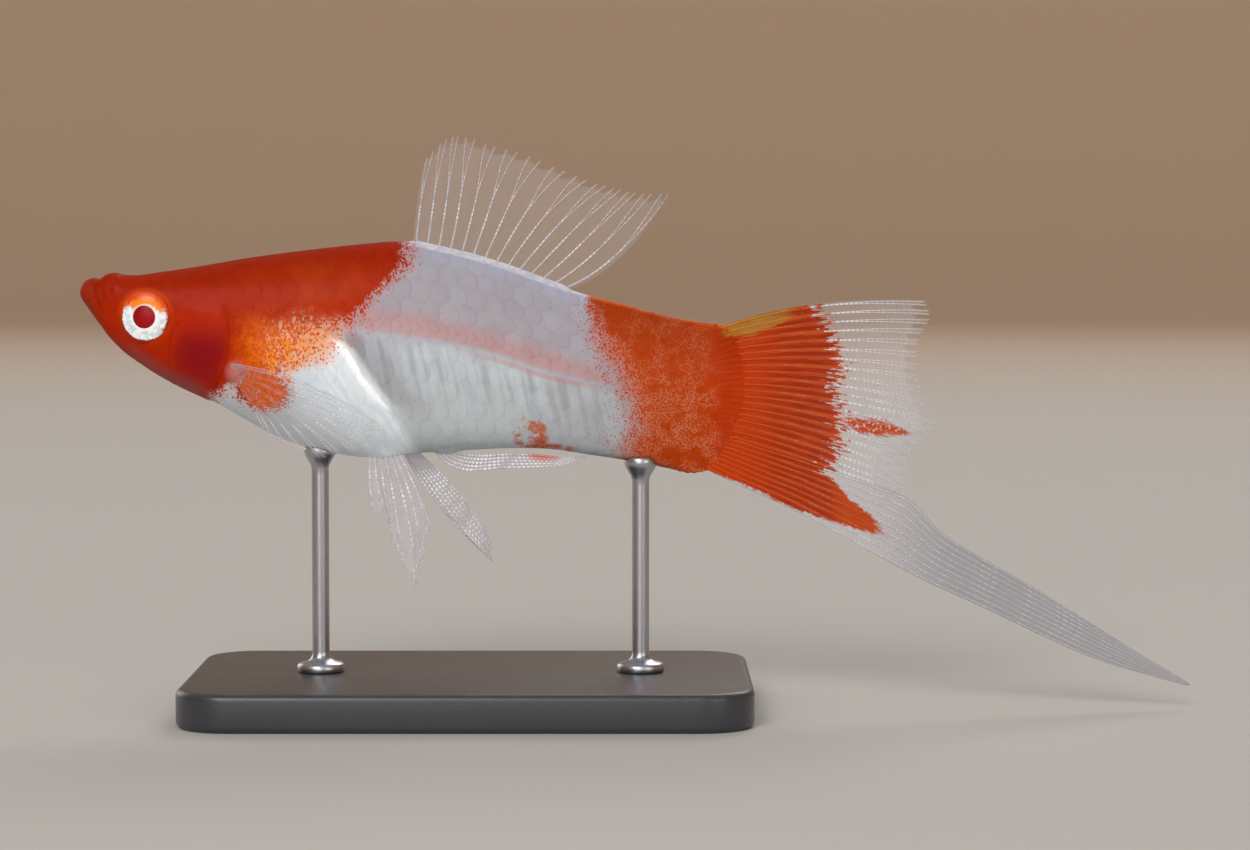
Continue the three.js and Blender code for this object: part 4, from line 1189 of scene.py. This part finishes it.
def clear_web_paint(name, looks, skin, milky):
    """Clear web, as milky as asked for."""
    paint = Paint(name, IOR=1.38, Specular_IOR_Level=0.12, Coat_Roughness=0.1)
    place, x, _, z = paint.place()
    milk = paint.noise(place, 1.6, 3, 0.6)
    tint = clear_fin_tint(paint, x, z)
    colour = paint.blend(milk.ease(0.3, 0.7), looks.web, dim(looks.web, 0.86))
    cover = looks.web_cover * milky * (0.55 + milk * 0.9)
    return paint.feed(
        Base_Color=paint.blend(tint, colour, vivid(skin)), Alpha=cover + tint * 0.75,
        Roughness=0.3 + milk * 0.15, Coat_Weight=0.2 - tint * 0.2,
    )


def ray_colour(paint, looks):
    """The colour of a jointed ray and how far out it is: bright pieces between thin dark joints, partly paler
    segments and partly painted glints, strongest midway out.
    """
    joint = paint.attribute("joint")
    reach = paint.attribute("reach")
    phase = joint.fraction()
    # Painted highlights: the bright pieces are glints, strongest midway out.
    bead_glint = phase.near(0.5, 0.2, 0.42)
    drawn = paint.noise(paint.vector(joint * 0.35, reach * 2, 0), 1.0, 2, 0.6)
    shine = bead_glint * (0.15 + drawn.ease(0.4, 0.6) * 0.85) * (0.25 + reach.near(0.55, 0.2, 0.45) * 0.75)
    return paint.blend(shine, looks.ray, looks.bead_glint), shine, reach


def clear_ray_paint(name, looks, skin, hold):
    """Rays of the clear fins, which glow faintly in their own colour as painted light. hold is how far they
    hide what is behind them at their roots.
    """
    paint = Paint(name, IOR=1.5, Specular_IOR_Level=0.2, Coat_Roughness=0.08, Emission_Strength=0.1)
    _, x, _, z = paint.place()
    colour, shine, reach = ray_colour(paint, looks)
    pink = blot(x, z, *PINK_RAYS) * 0.6
    colour = paint.blend(pink, colour, skin.pink)
    tint = clear_fin_tint(paint, x, z)
    colour = paint.blend(tint * 0.95, colour, vivid(skin))
    return paint.feed(
        Base_Color=colour, Roughness=0.34 - shine * 0.14, Alpha=hold - reach * 0.35 + shine * 0.15,
        Emission_Color=colour, Coat_Weight=0.4 - tint * 0.38,
    )


def orange_part(paint, x, z, ray):
    """Where the tail fin is orange, with an end that is ragged from ray to ray."""
    ragged = paint.noise(paint.vector(x * 0.25, 0, ray), 0.34, 3, 0.6) - 0.5
    dots = paint.noise(paint.vector(x, 0, z), 0.3, 2)
    fine = dots - 0.5
    ends = paint.curve(z, ORANGE_ENDS) + ragged * 9 + fine * 1.6
    main = (x - ends).fall(-0.2, 0.35)
    above = (z - paint.curve(x, ORANGE_FOOT) + fine * 0.7 + ragged * 0.7).ease(-0.1, 0.2)
    tongue = (paint.curve(x, TONGUE_TOP) - z + ragged * 1.2 + fine * 0.8).ease(-0.1, 0.25) * above
    tongue = tongue * (x + ragged * 5).fall(37.2, 38.9) * x.ease(29.4, 31)
    wide = 0.85 * x.between(33.5, 36.8, 37.5, 41.4) + 0.12
    streak = (abs(z - paint.curve(x, STREAK_LINE)) / wide + ragged * 2.4 + fine * 1.6).fall(0.5, 1.1)
    streak = streak * x.between(33.6, 35.4, 40.2, 41.4) * dots.ease(0.3, 0.5)
    return (main * above).most(tongue).most(streak)


def tail_web_paint(name, looks, skin, clear, milky):
    """The tail fin's web, orange near the body with dark stripes between the rays, then clear, and from there
    to the end of the sword of the clear colour and as milky as asked for."""
    paint = Paint(name, IOR=1.36, Specular_IOR_Level=0.12, Coat_Weight=0.04, Coat_Roughness=0.1)
    place, x, _, z = paint.place()
    ray = paint.attribute("ray")
    orange = orange_part(paint, x, z, ray)
    milk = paint.noise(place, 1.6, 3, 0.6)
    stripe = paint.noise(paint.vector(x * 0.2, 0, ray), 0.5, 2, 0.6)
    grain = paint.noise(place, 0.3, 3, 0.7)
    beside = abs((ray + 0.5).fraction() - 0.5)
    light = (beside + (stripe - 0.5) * 0.3).fall(0.14, 0.3) * x.ease(24, 27)
    deep = paint.blend(stripe.ease(0.35, 0.65) * 0.6, looks.orange, dim(looks.orange, 0.6))
    body = paint.blend(light * (0.35 + grain * 0.5), deep, paint.blend(0.3, skin.orange, looks.tan))
    root = 1 - (x - 22).distance((z + 1) * 0.3).ease(3, 8)
    freckled = paint.blend(0.42 + grain.ease(0.4, 0.62) * 0.28, skin.orange, skin.red)
    body = paint.blend(root, body, freckled)
    body = paint.blend(x.ease(32.8, 35) * 0.75, body, skin.orange)
    olive = olive_part(x, z, grain)
    body = paint.blend(olive * (0.9 - stripe.ease(0.4, 0.6) * 0.4), body, skin.olive)
    grey = x.ease(32, 46)
    colour = paint.blend(orange, paint.blend(grey, looks.web, clear), body)
    cover = (looks.web_cover * 1.1 * (1 - grey) + grey * milky) * (0.7 + milk * 0.6)
    hold = 0.97 - olive * 0.3 - x.ease(26, 33) * 0.1
    return paint.feed(Base_Color=colour, Alpha=cover + orange * (hold - cover), Roughness=0.36 + milk * 0.15)


def tail_ray_paint(name, looks, skin, beads):
    """The tail fin's rays: tan to orange in its orange part, grey beyond with bright beads painted as glints,
    and there glowing faintly as painted light.
    """
    paint = Paint(name, IOR=1.45, Specular_IOR_Level=0.2, Coat_Weight=0.15, Coat_Roughness=0.1,
                  Emission_Strength=0.1)
    _, x, _, z = paint.place()
    _, shine, reach = ray_colour(paint, looks)
    clear = paint.blend(shine * beads, looks.ray, looks.bead_glint)
    ray = paint.attribute("ray")
    orange = orange_part(paint, x, z, ray)
    vary = paint.noise(paint.vector(x * 0.3, 0, ray * 1.7), 0.7, 2, 0.6).ease(0.35, 0.65)
    tan = paint.blend((0.1 + shine * 0.7) * vary, skin.orange, looks.tan)
    near_body = paint.blend(x.ease(25, 31), skin.orange, tan)
    near_body = paint.blend(olive_part(x, z, shine) * 0.75, near_body, skin.olive)
    colour = paint.blend(orange, clear, near_body)
    # Painted glow: beyond the orange part the rays glow faintly in their own colour.
    return paint.feed(
        Base_Color=colour, Roughness=0.36 - shine * 0.12, Alpha=0.78 + orange * 0.2 - reach * 0.3,
        Emission_Color=paint.blend(orange, clear, BLACK),
    )


class SWORDTAIL_OT_skin(bpy.types.Operator):
    """Builds the one skin over the head, trunk and tail stalk"""

    bl_idname = "swordtail.skin"
    bl_label = "Skin"

    def execute(self, context):
        bm = unit_ball(SKIN_SPOKES, SKIN_RINGS, uvs=True)

        def place(points):
            share, angle = ball_shares(points)
            return tail_end(round_body(body_rows(share * (len(BODY) - 1)), angle))

        move_all(bm, place)
        bmesh.ops.recalc_face_normals(bm, faces=bm.faces[:])
        bm.normal_update()
        base = np.array([vertex.co[:] for vertex in bm.verts])
        normals = np.array([vertex.normal[:] for vertex in bm.verts])
        relief = skin_relief(*base.T)
        for vertex, target in zip(bm.verts, base + normals * relief[:, None]):
            vertex.co = target
        skin = finished("fish_skin", bm, body_paint("skin", context.scene.swordtail_skin))
        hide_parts("head", "trunk", "tail_stalk")
        return {"FINISHED"}


def table_rows(x):
    """The body's sections at places along it, whole rows of the table."""
    return np.stack([np.interp(x, BODY_TABLE[:, 0], column) for column in BODY_TABLE.T], axis=-1)


def girth_table(columns=240, spokes=241):
    """For places along the body, half its girth and the angles that part the girth evenly, back to belly."""
    xs = np.linspace(GIRTH["from"], GIRTH["to"], columns)
    angle = np.linspace(np.pi / 2, -np.pi / 2, spokes)
    halves, angles = [], []
    for x in xs:
        points = round_body(table_rows(np.full(spokes, x)), angle)
        length = np.concatenate([[0], np.cumsum(np.linalg.norm(np.diff(points, axis=0), axis=1))])
        halves.append(length[-1])
        angles.append(np.interp(np.linspace(0, 1, GIRTH["steps"] + 1), length / length[-1], angle))
    return xs, np.array(halves), np.array(angles)


def on_body(table, x, girth):
    """Points on the body for places along it and shares of its girth: 0 at the back, 1 at the belly and
    on to 2 up the other side."""
    xs, _, angles = table
    folded = np.mod(girth, 2)
    side = np.where(folded > 1, -1, 1)
    share = np.where(folded > 1, 2 - folded, folded)
    column = np.clip(np.interp(x, xs, np.arange(len(xs))), 0, len(xs) - 1.001)
    row = np.clip(share * GIRTH["steps"], 0, GIRTH["steps"] - 0.001)
    i, j = column.astype(int), row.astype(int)
    above, below = (mix(angles[i, k], angles[i + 1, k], column - i) for k in (j, j + 1))
    points = round_body(table_rows(x), mix(above, below, row - j))
    points[:, 1] *= side
    return points


class SWORDTAIL_OT_scales(bpy.types.Operator):
    """Lays the scales in rows over the skin, each over the front of the next"""

    bl_idname = "swordtail.scales"
    bl_label = "Scales"

    def execute(self, context):
        sizes = context.scene.swordtail_scales
        table = girth_table()
        shape = unit_ball(SCALE["spokes"], SCALE["rings"])
        share, turn = ball_shares(np.array([vertex.co[:] for vertex in shape.verts]))
        upper = share <= 0.5
        rim = 1 - np.abs(1 - 2 * share)
        rim = 1 - (1 - rim) ** 3
        height = np.where(upper, 1, -1) * (1 - rim ** 8)

        random = np.random.default_rng(COAT["seed"])
        middles = []
        for row in range(sizes.rows):
            girth = 2 * row / sizes.rows
            start = COAT["first"] + (row % 2) * sizes.pitch / 2
            for column in range(int((COAT["last"] - start) / sizes.pitch)):
                middles.append((start + column * sizes.pitch, girth))
        middles = np.array(middles)
        spots = on_body(table, middles[:, 0], middles[:, 1])
        nape = ease(spots[:, 2], *COAT["nape_rise"])
        keep = spots[:, 0] > mix(gill_edge_at(spots[:, 2]) + COAT["past_gill"], COAT["nape"], nape)
        middles = middles[keep]
        middles += random.normal(0, 1, middles.shape) * COAT["shift"]

        half_girth = np.interp(middles[:, 0], table[0], table[1])[:, None]
        row_step = 2 * half_girth / sizes.rows
        spread = SCALE["spread"] * row_step
        dx = SCALE["reach"] * rim * np.cos(turn)
        dg = spread * rim * np.sin(turn) * (1 - 0.12 * np.cos(turn) * rim)
        x = middles[:, :1] + dx
        girth = middles[:, 1:] + dg / half_girth
        flat = on_body(table, x.ravel(), girth.ravel())
        step = 0.05
        ahead = on_body(table, x.ravel() + step, girth.ravel()) - flat
        beside = on_body(table, x.ravel(), girth.ravel() + step / half_girth.mean()) - flat
        normal = np.cross(ahead, beside)
        normal /= np.linalg.norm(normal, axis=1, keepdims=True)
        outwards = np.sign((normal * (flat - [0, 0, 2])).sum(axis=1, keepdims=True))
        lift = SCALE["lift"] + SCALE["tilt"] * dx + SCALE["thick"] * height
        places = flat + normal * outwards * np.broadcast_to(lift, x.shape).reshape(-1, 1)
        places = tail_end(places).reshape(*x.shape, 3)
        tint = np.repeat(random.random(len(middles))[:, None], x.shape[1], axis=1)
        rims = np.broadcast_to(np.where(np.cos(turn) > -0.2, rim, rim * 0.7), x.shape)
        paint = body_paint("scale", context.scene.swordtail_skin, plates=True)
        scales = joined("scales", [(shape, places, {"rim": rims, "tint": tint})], paint)
        mesh = scales.data
        uv = mesh.uv_layers.new(name="OFBake")
        loops = np.zeros(len(mesh.loops), np.int32)
        mesh.loops.foreach_get("vertex_index", loops)
        copy, corner = np.divmod(loops, x.shape[1])
        u = middles[copy, 1] / 2 + 0.0015 * (rim * np.sin(turn))[corner]
        v = (middles[copy, 0] + 30) / 60 + 0.0015 * (rim * np.cos(turn))[corner]
        uv.data.foreach_set("uv", np.stack([u, v], axis=-1).astype(np.float32).ravel())
        return {"FINISHED"}


def iris_paint(colours):
    """The iris: silver below, amber above, with a pale line round the pupil and a red rim, all glowing
    faintly as painted light.
    """
    paint = Paint("iris", IOR=1.4, Specular_IOR_Level=0.4, Emission_Strength=0.22)
    place, x, _, z = paint.place()
    over, up = x - EYE["x"], z - EYE["z"]
    out = over.distance(up)
    cloud = paint.noise(place, 0.36, 3, 0.65)
    fine = paint.noise(paint.shaken(place, 0.4, 0.5), 0.42, 3, 0.65)
    facets = fine.ease(0.42, 0.58) * out.near(1.65, 0.25, 0.6)
    colour = paint.blend(facets * 0.65, colours.silver, colours.shade)
    colour = paint.blend(out.near(1.14, 0.08, 0.24) * 0.9, colour, WHITE)
    height = up + over * 0.12 + (cloud - 0.5) * 1.8
    amber = paint.blend((out + (cloud - 0.5)).ease(1.55, 2.15), colours.amber, colours.rim)
    upper = height.ease(0.4, 1.1) * out.ease(1.0, 1.3)
    colour = paint.blend(upper, colour, amber)
    fuzzy = out + (cloud - 0.5) * 0.4
    rim = (fuzzy.ease(1.85, 2.15) * (up + over).ease(-0.8, 0.8)).most(fuzzy.ease(2.06, 2.18))
    colour = paint.blend(rim, colour, paint.blend(up.ease(-0.5, 1), colours.dark, colours.rim))
    # Painted glow: the iris glows faintly in its own colour.
    return paint.feed(
        Base_Color=colour, Roughness=0.22 + cloud * 0.2, Emission_Color=colour,
        Normal=paint.bump(fine, 0.03),
    )


def pupil_paint(colours):
    paint = Paint("pupil", IOR=1.3, Specular_IOR_Level=0.2, Roughness=0.3)
    place, x, _, z = paint.place()
    out = (x - EYE["x"]).distance(z - EYE["z"])
    dark = dim(colours.pupil, 0.7)
    shade = out.ease(0.4, 1.1) * 0.5 + paint.noise(place, 0.5, 2) * 0.3
    return paint.feed(Base_Color=paint.blend(shade, colours.pupil, dark))


def cornea_paint():
    return Paint("cornea", Base_Color=(0.01, 0.01, 0.012), IOR=1.38, Roughness=0.04, Alpha=0.06,
                 Coat_Weight=1, Coat_Roughness=0.02).material


def in_socket(bm, side):
    """Turns a round shape outwards and slightly forwards, and moves it to the eye of a side."""
    upright = Matrix.Rotation(-side * math.radians(90), 4, "X")
    yaw = Matrix.Rotation(side * math.radians(EYE["turn"]), 4, "Z")
    move = Matrix.Translation((EYE["x"], side * EYE["out"], EYE["z"]))
    bmesh.ops.transform(bm, matrix=move @ yaw @ upright, verts=bm.verts[:])
    return bm


def dome(radius, foot, rise):
    """The profile of a dome, from its top out to its foot."""
    angles = np.linspace(0, math.pi / 2, 15)
    return [(radius * math.sin(angle), foot + rise * math.cos(angle)) for angle in angles]


class SWORDTAIL_OT_eyes(bpy.types.Operator):
    """Builds both eyes: an iris with a hollow rim, a lens in the pupil and a clear cornea"""

    bl_idname = "swordtail.eyes"
    bl_label = "Eyes"

    def execute(self, context):
        colours = context.scene.swordtail_eyes
        iris, pupil, cornea = iris_paint(colours), pupil_paint(colours), cornea_paint()
        radius, hole = EYE["radius"] + IRIS["past_socket"], EYE["pupil"]
        ring = [point for point in dome(radius, IRIS["foot"], IRIS["rise"]) if point[0] > hole + IRIS["lip"]]
        lip = [(hole + out, along) for out, along in IRIS_LIP]
        waist = (radius * IRIS["waist"], IRIS["waist_at"])
        globe = [(0, IRIS["floor"]), *lip, *ring, waist, (0, IRIS["back"])]
        lens = dome(hole + LENS["past_pupil"], LENS["foot"], LENS["rise"])
        lens += [(hole * LENS["waist"], LENS["waist_at"]), (0, LENS["back"])]
        outer = dome(radius - CORNEA["inside"], CORNEA["foot"], CORNEA["rise"])
        inner = dome(radius - CORNEA["inside"] - CORNEA["thick"], CORNEA["foot"],
                     CORNEA["rise"] - CORNEA["thick"])
        layers = (("iris_", globe, iris), ("lens_", lens, pupil), ("cornea_", outer + inner[::-1], cornea))
        for side, name in ((-1, "left"), (1, "right")):
            for layer, profile, paint in layers:
                piece = finished(layer + name, in_socket(turned(profile, EYE["steps"]), side), paint)
                if layer == "iris_":
                    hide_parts("eye_" + name)
        return {"FINISHED"}


def dress_fin(name, node, at, fin, web, ray, thick):
    """A fin's web, which stands for its solid, and the rays in it."""
    sheet = web_piece(name + "_web", at, fin["rays"], web, **fin.get("sheet", {}))
    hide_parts(node)
    rods = ray_piece(name + "_rays", at, fin["rays"], ray, thick, **fin["rods"])


class SWORDTAIL_OT_fins(bpy.types.Operator):
    """Builds the clear fins of the back, breast and belly"""

    bl_idname = "swordtail.fins"
    bl_label = "Clear fins"

    def execute(self, context):
        looks = context.scene.swordtail_fins
        skin = context.scene.swordtail_skin
        web = clear_web_paint("fin_web", looks, skin, 2.2)
        ray = clear_ray_paint("fin_ray", looks, skin, 0.9)
        thin_web = clear_web_paint("thin_fin_web", looks, skin, 0.9)
        thin_ray = clear_ray_paint("thin_fin_ray", looks, skin, 0.66)
        thick = looks.ray_width
        dress_fin("dorsal", "dorsal_fin", dorsal_at, DORSAL, thin_web, thin_ray, thick)
        for name, at in (("left", pectoral_at), ("right", mirrored_at(pectoral_at))):
            dress_fin("pectoral_" + name, "pectoral_fin_" + name, at, PECTORAL, thin_web, thin_ray,
                      thick)
        for name, fin in (("left", PELVIC_LEFT), ("right", PELVIC_RIGHT)):
            dress_fin("pelvic_" + name, "pelvic_fin_" + name, pelvic_at(fin), PELVIC, web, ray,
                      thick)
        dress_fin("gonopodium", "gonopodium", gonopodium_at, GONOPODIUM, web, ray, thick)
        return {"FINISHED"}


class SWORDTAIL_OT_tail(bpy.types.Operator):
    """Builds the tail fin and the sword"""

    bl_idname = "swordtail.tail"
    bl_label = "Tail fin and sword"

    def execute(self, context):
        looks, skin = context.scene.swordtail_fins, context.scene.swordtail_skin
        web = tail_web_paint("tail_web", looks, skin, looks.web, looks.web_cover * 1.8)
        grey = tail_web_paint("sword_web", looks, skin, looks.filament, 0.58)
        ray = tail_ray_paint("tail_ray", looks, skin, 1)
        line = tail_ray_paint("sword_ray", looks, skin, 0.5)
        thick = looks.ray_width
        dress_fin("caudal", "caudal_fin", caudal_at, CAUDAL, web, ray, thick)
        dress_fin("sword", "sword", sword_at, SWORD, grey, line, thick)
        return {"FINISHED"}


def lacquer_paint(looks):
    """Satin lacquer with a fine orange-peel surface, rubbed a little paler at its edges."""
    paint = Paint("lacquer", IOR=1.5, Coat_Weight=0.25, Coat_Roughness=0.25)
    place, _, _, z = paint.place()
    peel = paint.noise(place, 0.35, 3, 0.6)
    cloud = paint.noise(place, 9, 3, 0.6)
    top = BASE["thickness"] - LEVEL
    worn = (z - top + 0.5).ease(-0.15, 0.3) * paint.noise(place, 1.5, 4, 0.7).ease(0.5, 0.7)
    base = paint.blend(cloud, looks.lacquer, dim(looks.lacquer, 1.35))
    colour = paint.blend(worn * 0.1, base, (0.2, 0.2, 0.2))
    return paint.feed(Base_Color=colour, Roughness=0.36 + cloud * 0.12, Normal=paint.bump(peel, 0.02))


def steel_paint(looks):
    """Turned steel: fine rings round the rods."""
    paint = Paint("turned_steel", Metallic=1.0)
    place, _, _, z = paint.place()
    rings = paint.noise(paint.vector(0, 0, z), 0.09, 3, 0.7)
    streak = paint.noise(place, 0.8, 2)
    colour = paint.blend(rings * 0.5 + streak * 0.3, looks.steel, dim(looks.steel, 0.7))
    return paint.feed(Base_Color=colour, Roughness=0.24 + rings * 0.16, Normal=paint.bump(rings, 0.01))


class SWORDTAIL_OT_stand(bpy.types.Operator):
    """Builds the lacquered base and the two steel rods with their cups"""

    bl_idname = "swordtail.stand"
    bl_label = "Display stand"

    def execute(self, context):
        looks = context.scene.swordtail_stand
        bm = bmesh.new()
        bmesh.ops.create_cube(bm, size=1)
        bmesh.ops.scale(bm, vec=(BASE["length"], BASE["width"], BASE["thickness"]), verts=bm.verts[:])
        bmesh.ops.translate(bm, vec=(0, 0, BASE["thickness"] / 2 - LEVEL), verts=bm.verts[:])
        upright = [edge for edge in bm.edges if abs(edge.verts[0].co.z - edge.verts[1].co.z) > 1]
        round_off = {"affect": "EDGES", "profile": 0.5, "material": -1}
        bmesh.ops.bevel(bm, geom=upright, offset=BASE["corner"], segments=16, **round_off)
        flat = [face for face in bm.faces if abs(face.normal.z) > 0.9]
        around = [edge for face in flat for edge in face.edges]
        bmesh.ops.bevel(bm, geom=around, offset=BASE["bevel"], segments=5, **round_off)
        plate = finished("base_plate", bm, lacquer_paint(looks))
        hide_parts("stand_base")

        steel = steel_paint(looks)
        for name in ("front", "rear"):
            low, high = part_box("stand_rod_" + name)
            x = (low.x + high.x) / 2 / MM
            foot = low.z / MM - LEVEL
            belly = float(section_at(x)[1])
            neck = belly + ROD["neck"]
            shaft = np.linspace(foot + ROD["shaft_foot"], belly + ROD["shaft_top"], 30)
            profile = [(out, foot + up) for out, up in ROD_FOOT]
            profile += [(ROD["radius"], z) for z in shaft]
            profile += [(out, belly + up) for out, up in ROD_CUP]

            def under_belly(points):
                px, py, pz = points.T
                px = px + x
                _, bottom, half, wide, _, lower = section_at(px)
                share = np.clip(np.abs(py) / half, 0, 0.999)
                skin = wide - (wide - bottom) * (1 - share ** lower) ** (1 / lower)
                pz = np.where(pz > neck, np.minimum(pz, skin - ROD["under_skin"]), pz)
                return np.stack([px, py, pz], axis=-1)

            bm = turned(profile, 48)
            move_all(bm, under_belly)
            rod = finished("rod_" + name, bm, steel)
            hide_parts("stand_rod_" + name)
        return {"FINISHED"}


class SWORDTAIL_OT_stage(bpy.types.Operator):
    """Sets the round floor and backdrop, the soft lights and the camera"""

    bl_idname = "swordtail.stage"
    bl_label = "Stage"

    def execute(self, context):
        looks = context.scene.swordtail_stage
        scene = context.scene
        radius, bend = FLOOR["radius"], FLOOR["bend"]
        corner = [(radius - bend + bend * math.sin(a), bend - bend * math.cos(a))
                  for a in np.linspace(0, math.pi / 2, 12)]
        flat = [(out, 0) for out in FLOOR["rings"]]
        bm = turned([*flat, *corner, (radius, FLOOR["height"])], 96, 1e-6)
        bmesh.ops.recalc_face_normals(bm, faces=bm.faces[:])
        bmesh.ops.reverse_faces(bm, faces=bm.faces[:])
        mesh = bpy.data.meshes.new("studio_floor")
        bm.to_mesh(mesh)
        bm.free()
        mesh.shade_smooth()
        paint = Paint("studio_paper", Specular_IOR_Level=0.2)
        _, x, y, _ = paint.place()
        far = x.distance(y)
        colour = paint.blend(far.ease(*BACKDROP_FADE), looks.floor, looks.backdrop)
        mesh.materials.append(paint.feed(Base_Color=colour, Roughness=0.85))
        floor = bpy.data.objects.new("studio_floor", mesh)
        scene.collection.objects.link(floor)

        for name, spot, size, share in LIGHTS:
            lamp = bpy.data.lights.new(name, "AREA")
            lamp.shape = "DISK"
            lamp.size = size
            lamp.spread = LIGHT_SPREAD
            lamp.energy = looks.key_power * share
            holder = bpy.data.objects.new(name, lamp)
            holder.location = spot
            holder.rotation_euler = (LOOK_AT - Vector(spot)).to_track_quat("-Z", "Y").to_euler()
            scene.collection.objects.link(holder)
        world = bpy.data.worlds.new("studio_air")
        world.use_nodes = True
        air = world.node_tree.nodes["Background"]
        air.inputs["Color"].default_value = AIR["colour"]
        air.inputs["Strength"].default_value = AIR["strength"]
        scene.world = world
        scene.view_settings.view_transform = "Standard"

        camera_data = bpy.data.cameras.new("camera")
        camera_data.lens = looks.lens
        camera_data.clip_start = 0.01
        camera = bpy.data.objects.new("camera", camera_data)
        distance = VIEW_WIDTH * looks.lens / camera_data.sensor_width
        tilt = looks.elevation
        camera.location = LOOK_AT + Vector((0, -math.cos(tilt), math.sin(tilt))) * distance
        camera.rotation_euler = (math.pi / 2 - tilt, 0, 0)
        scene.collection.objects.link(camera)
        scene.camera = camera
        return {"FINISHED"}


OPERATORS = (
    SWORDTAIL_OT_stage,
    SWORDTAIL_OT_skin,
    SWORDTAIL_OT_scales,
    SWORDTAIL_OT_eyes,
    SWORDTAIL_OT_fins,
    SWORDTAIL_OT_tail,
    SWORDTAIL_OT_stand,
)


class SWORDTAIL_PT_panel(bpy.types.Panel):
    """Lists the pieces in the order in which they are built"""

    bl_label = "Swordtail"
    bl_space_type = "VIEW_3D"
    bl_region_type = "UI"
    bl_category = "Swordtail"

    def draw(self, context):
        for operator in OPERATORS:
            self.layout.operator(operator.bl_idname)


GROUPS = {
    "swordtail_skin": SwordtailSkinColours,
    "swordtail_scales": SwordtailScaleSizes,
    "swordtail_fins": SwordtailFinLooks,
    "swordtail_eyes": SwordtailEyeColours,
    "swordtail_stand": SwordtailStandLooks,
    "swordtail_stage": SwordtailStageLooks,
}


def register():
    for kind in (*GROUPS.values(), *OPERATORS, SWORDTAIL_PT_panel):
        bpy.utils.register_class(kind)
    for name, kind in GROUPS.items():
        setattr(bpy.types.Scene, name, PointerProperty(type=kind))


def unregister():
    for name in GROUPS:
        delattr(bpy.types.Scene, name)
    for kind in reversed((*GROUPS.values(), *OPERATORS, SWORDTAIL_PT_panel)):
        bpy.utils.unregister_class(kind)


def main():
    register()
    for operator in OPERATORS:
        group, name = operator.bl_idname.split(".")
        getattr(getattr(bpy.ops, group), name)()
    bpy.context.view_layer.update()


if __name__ == "__main__":
    main()
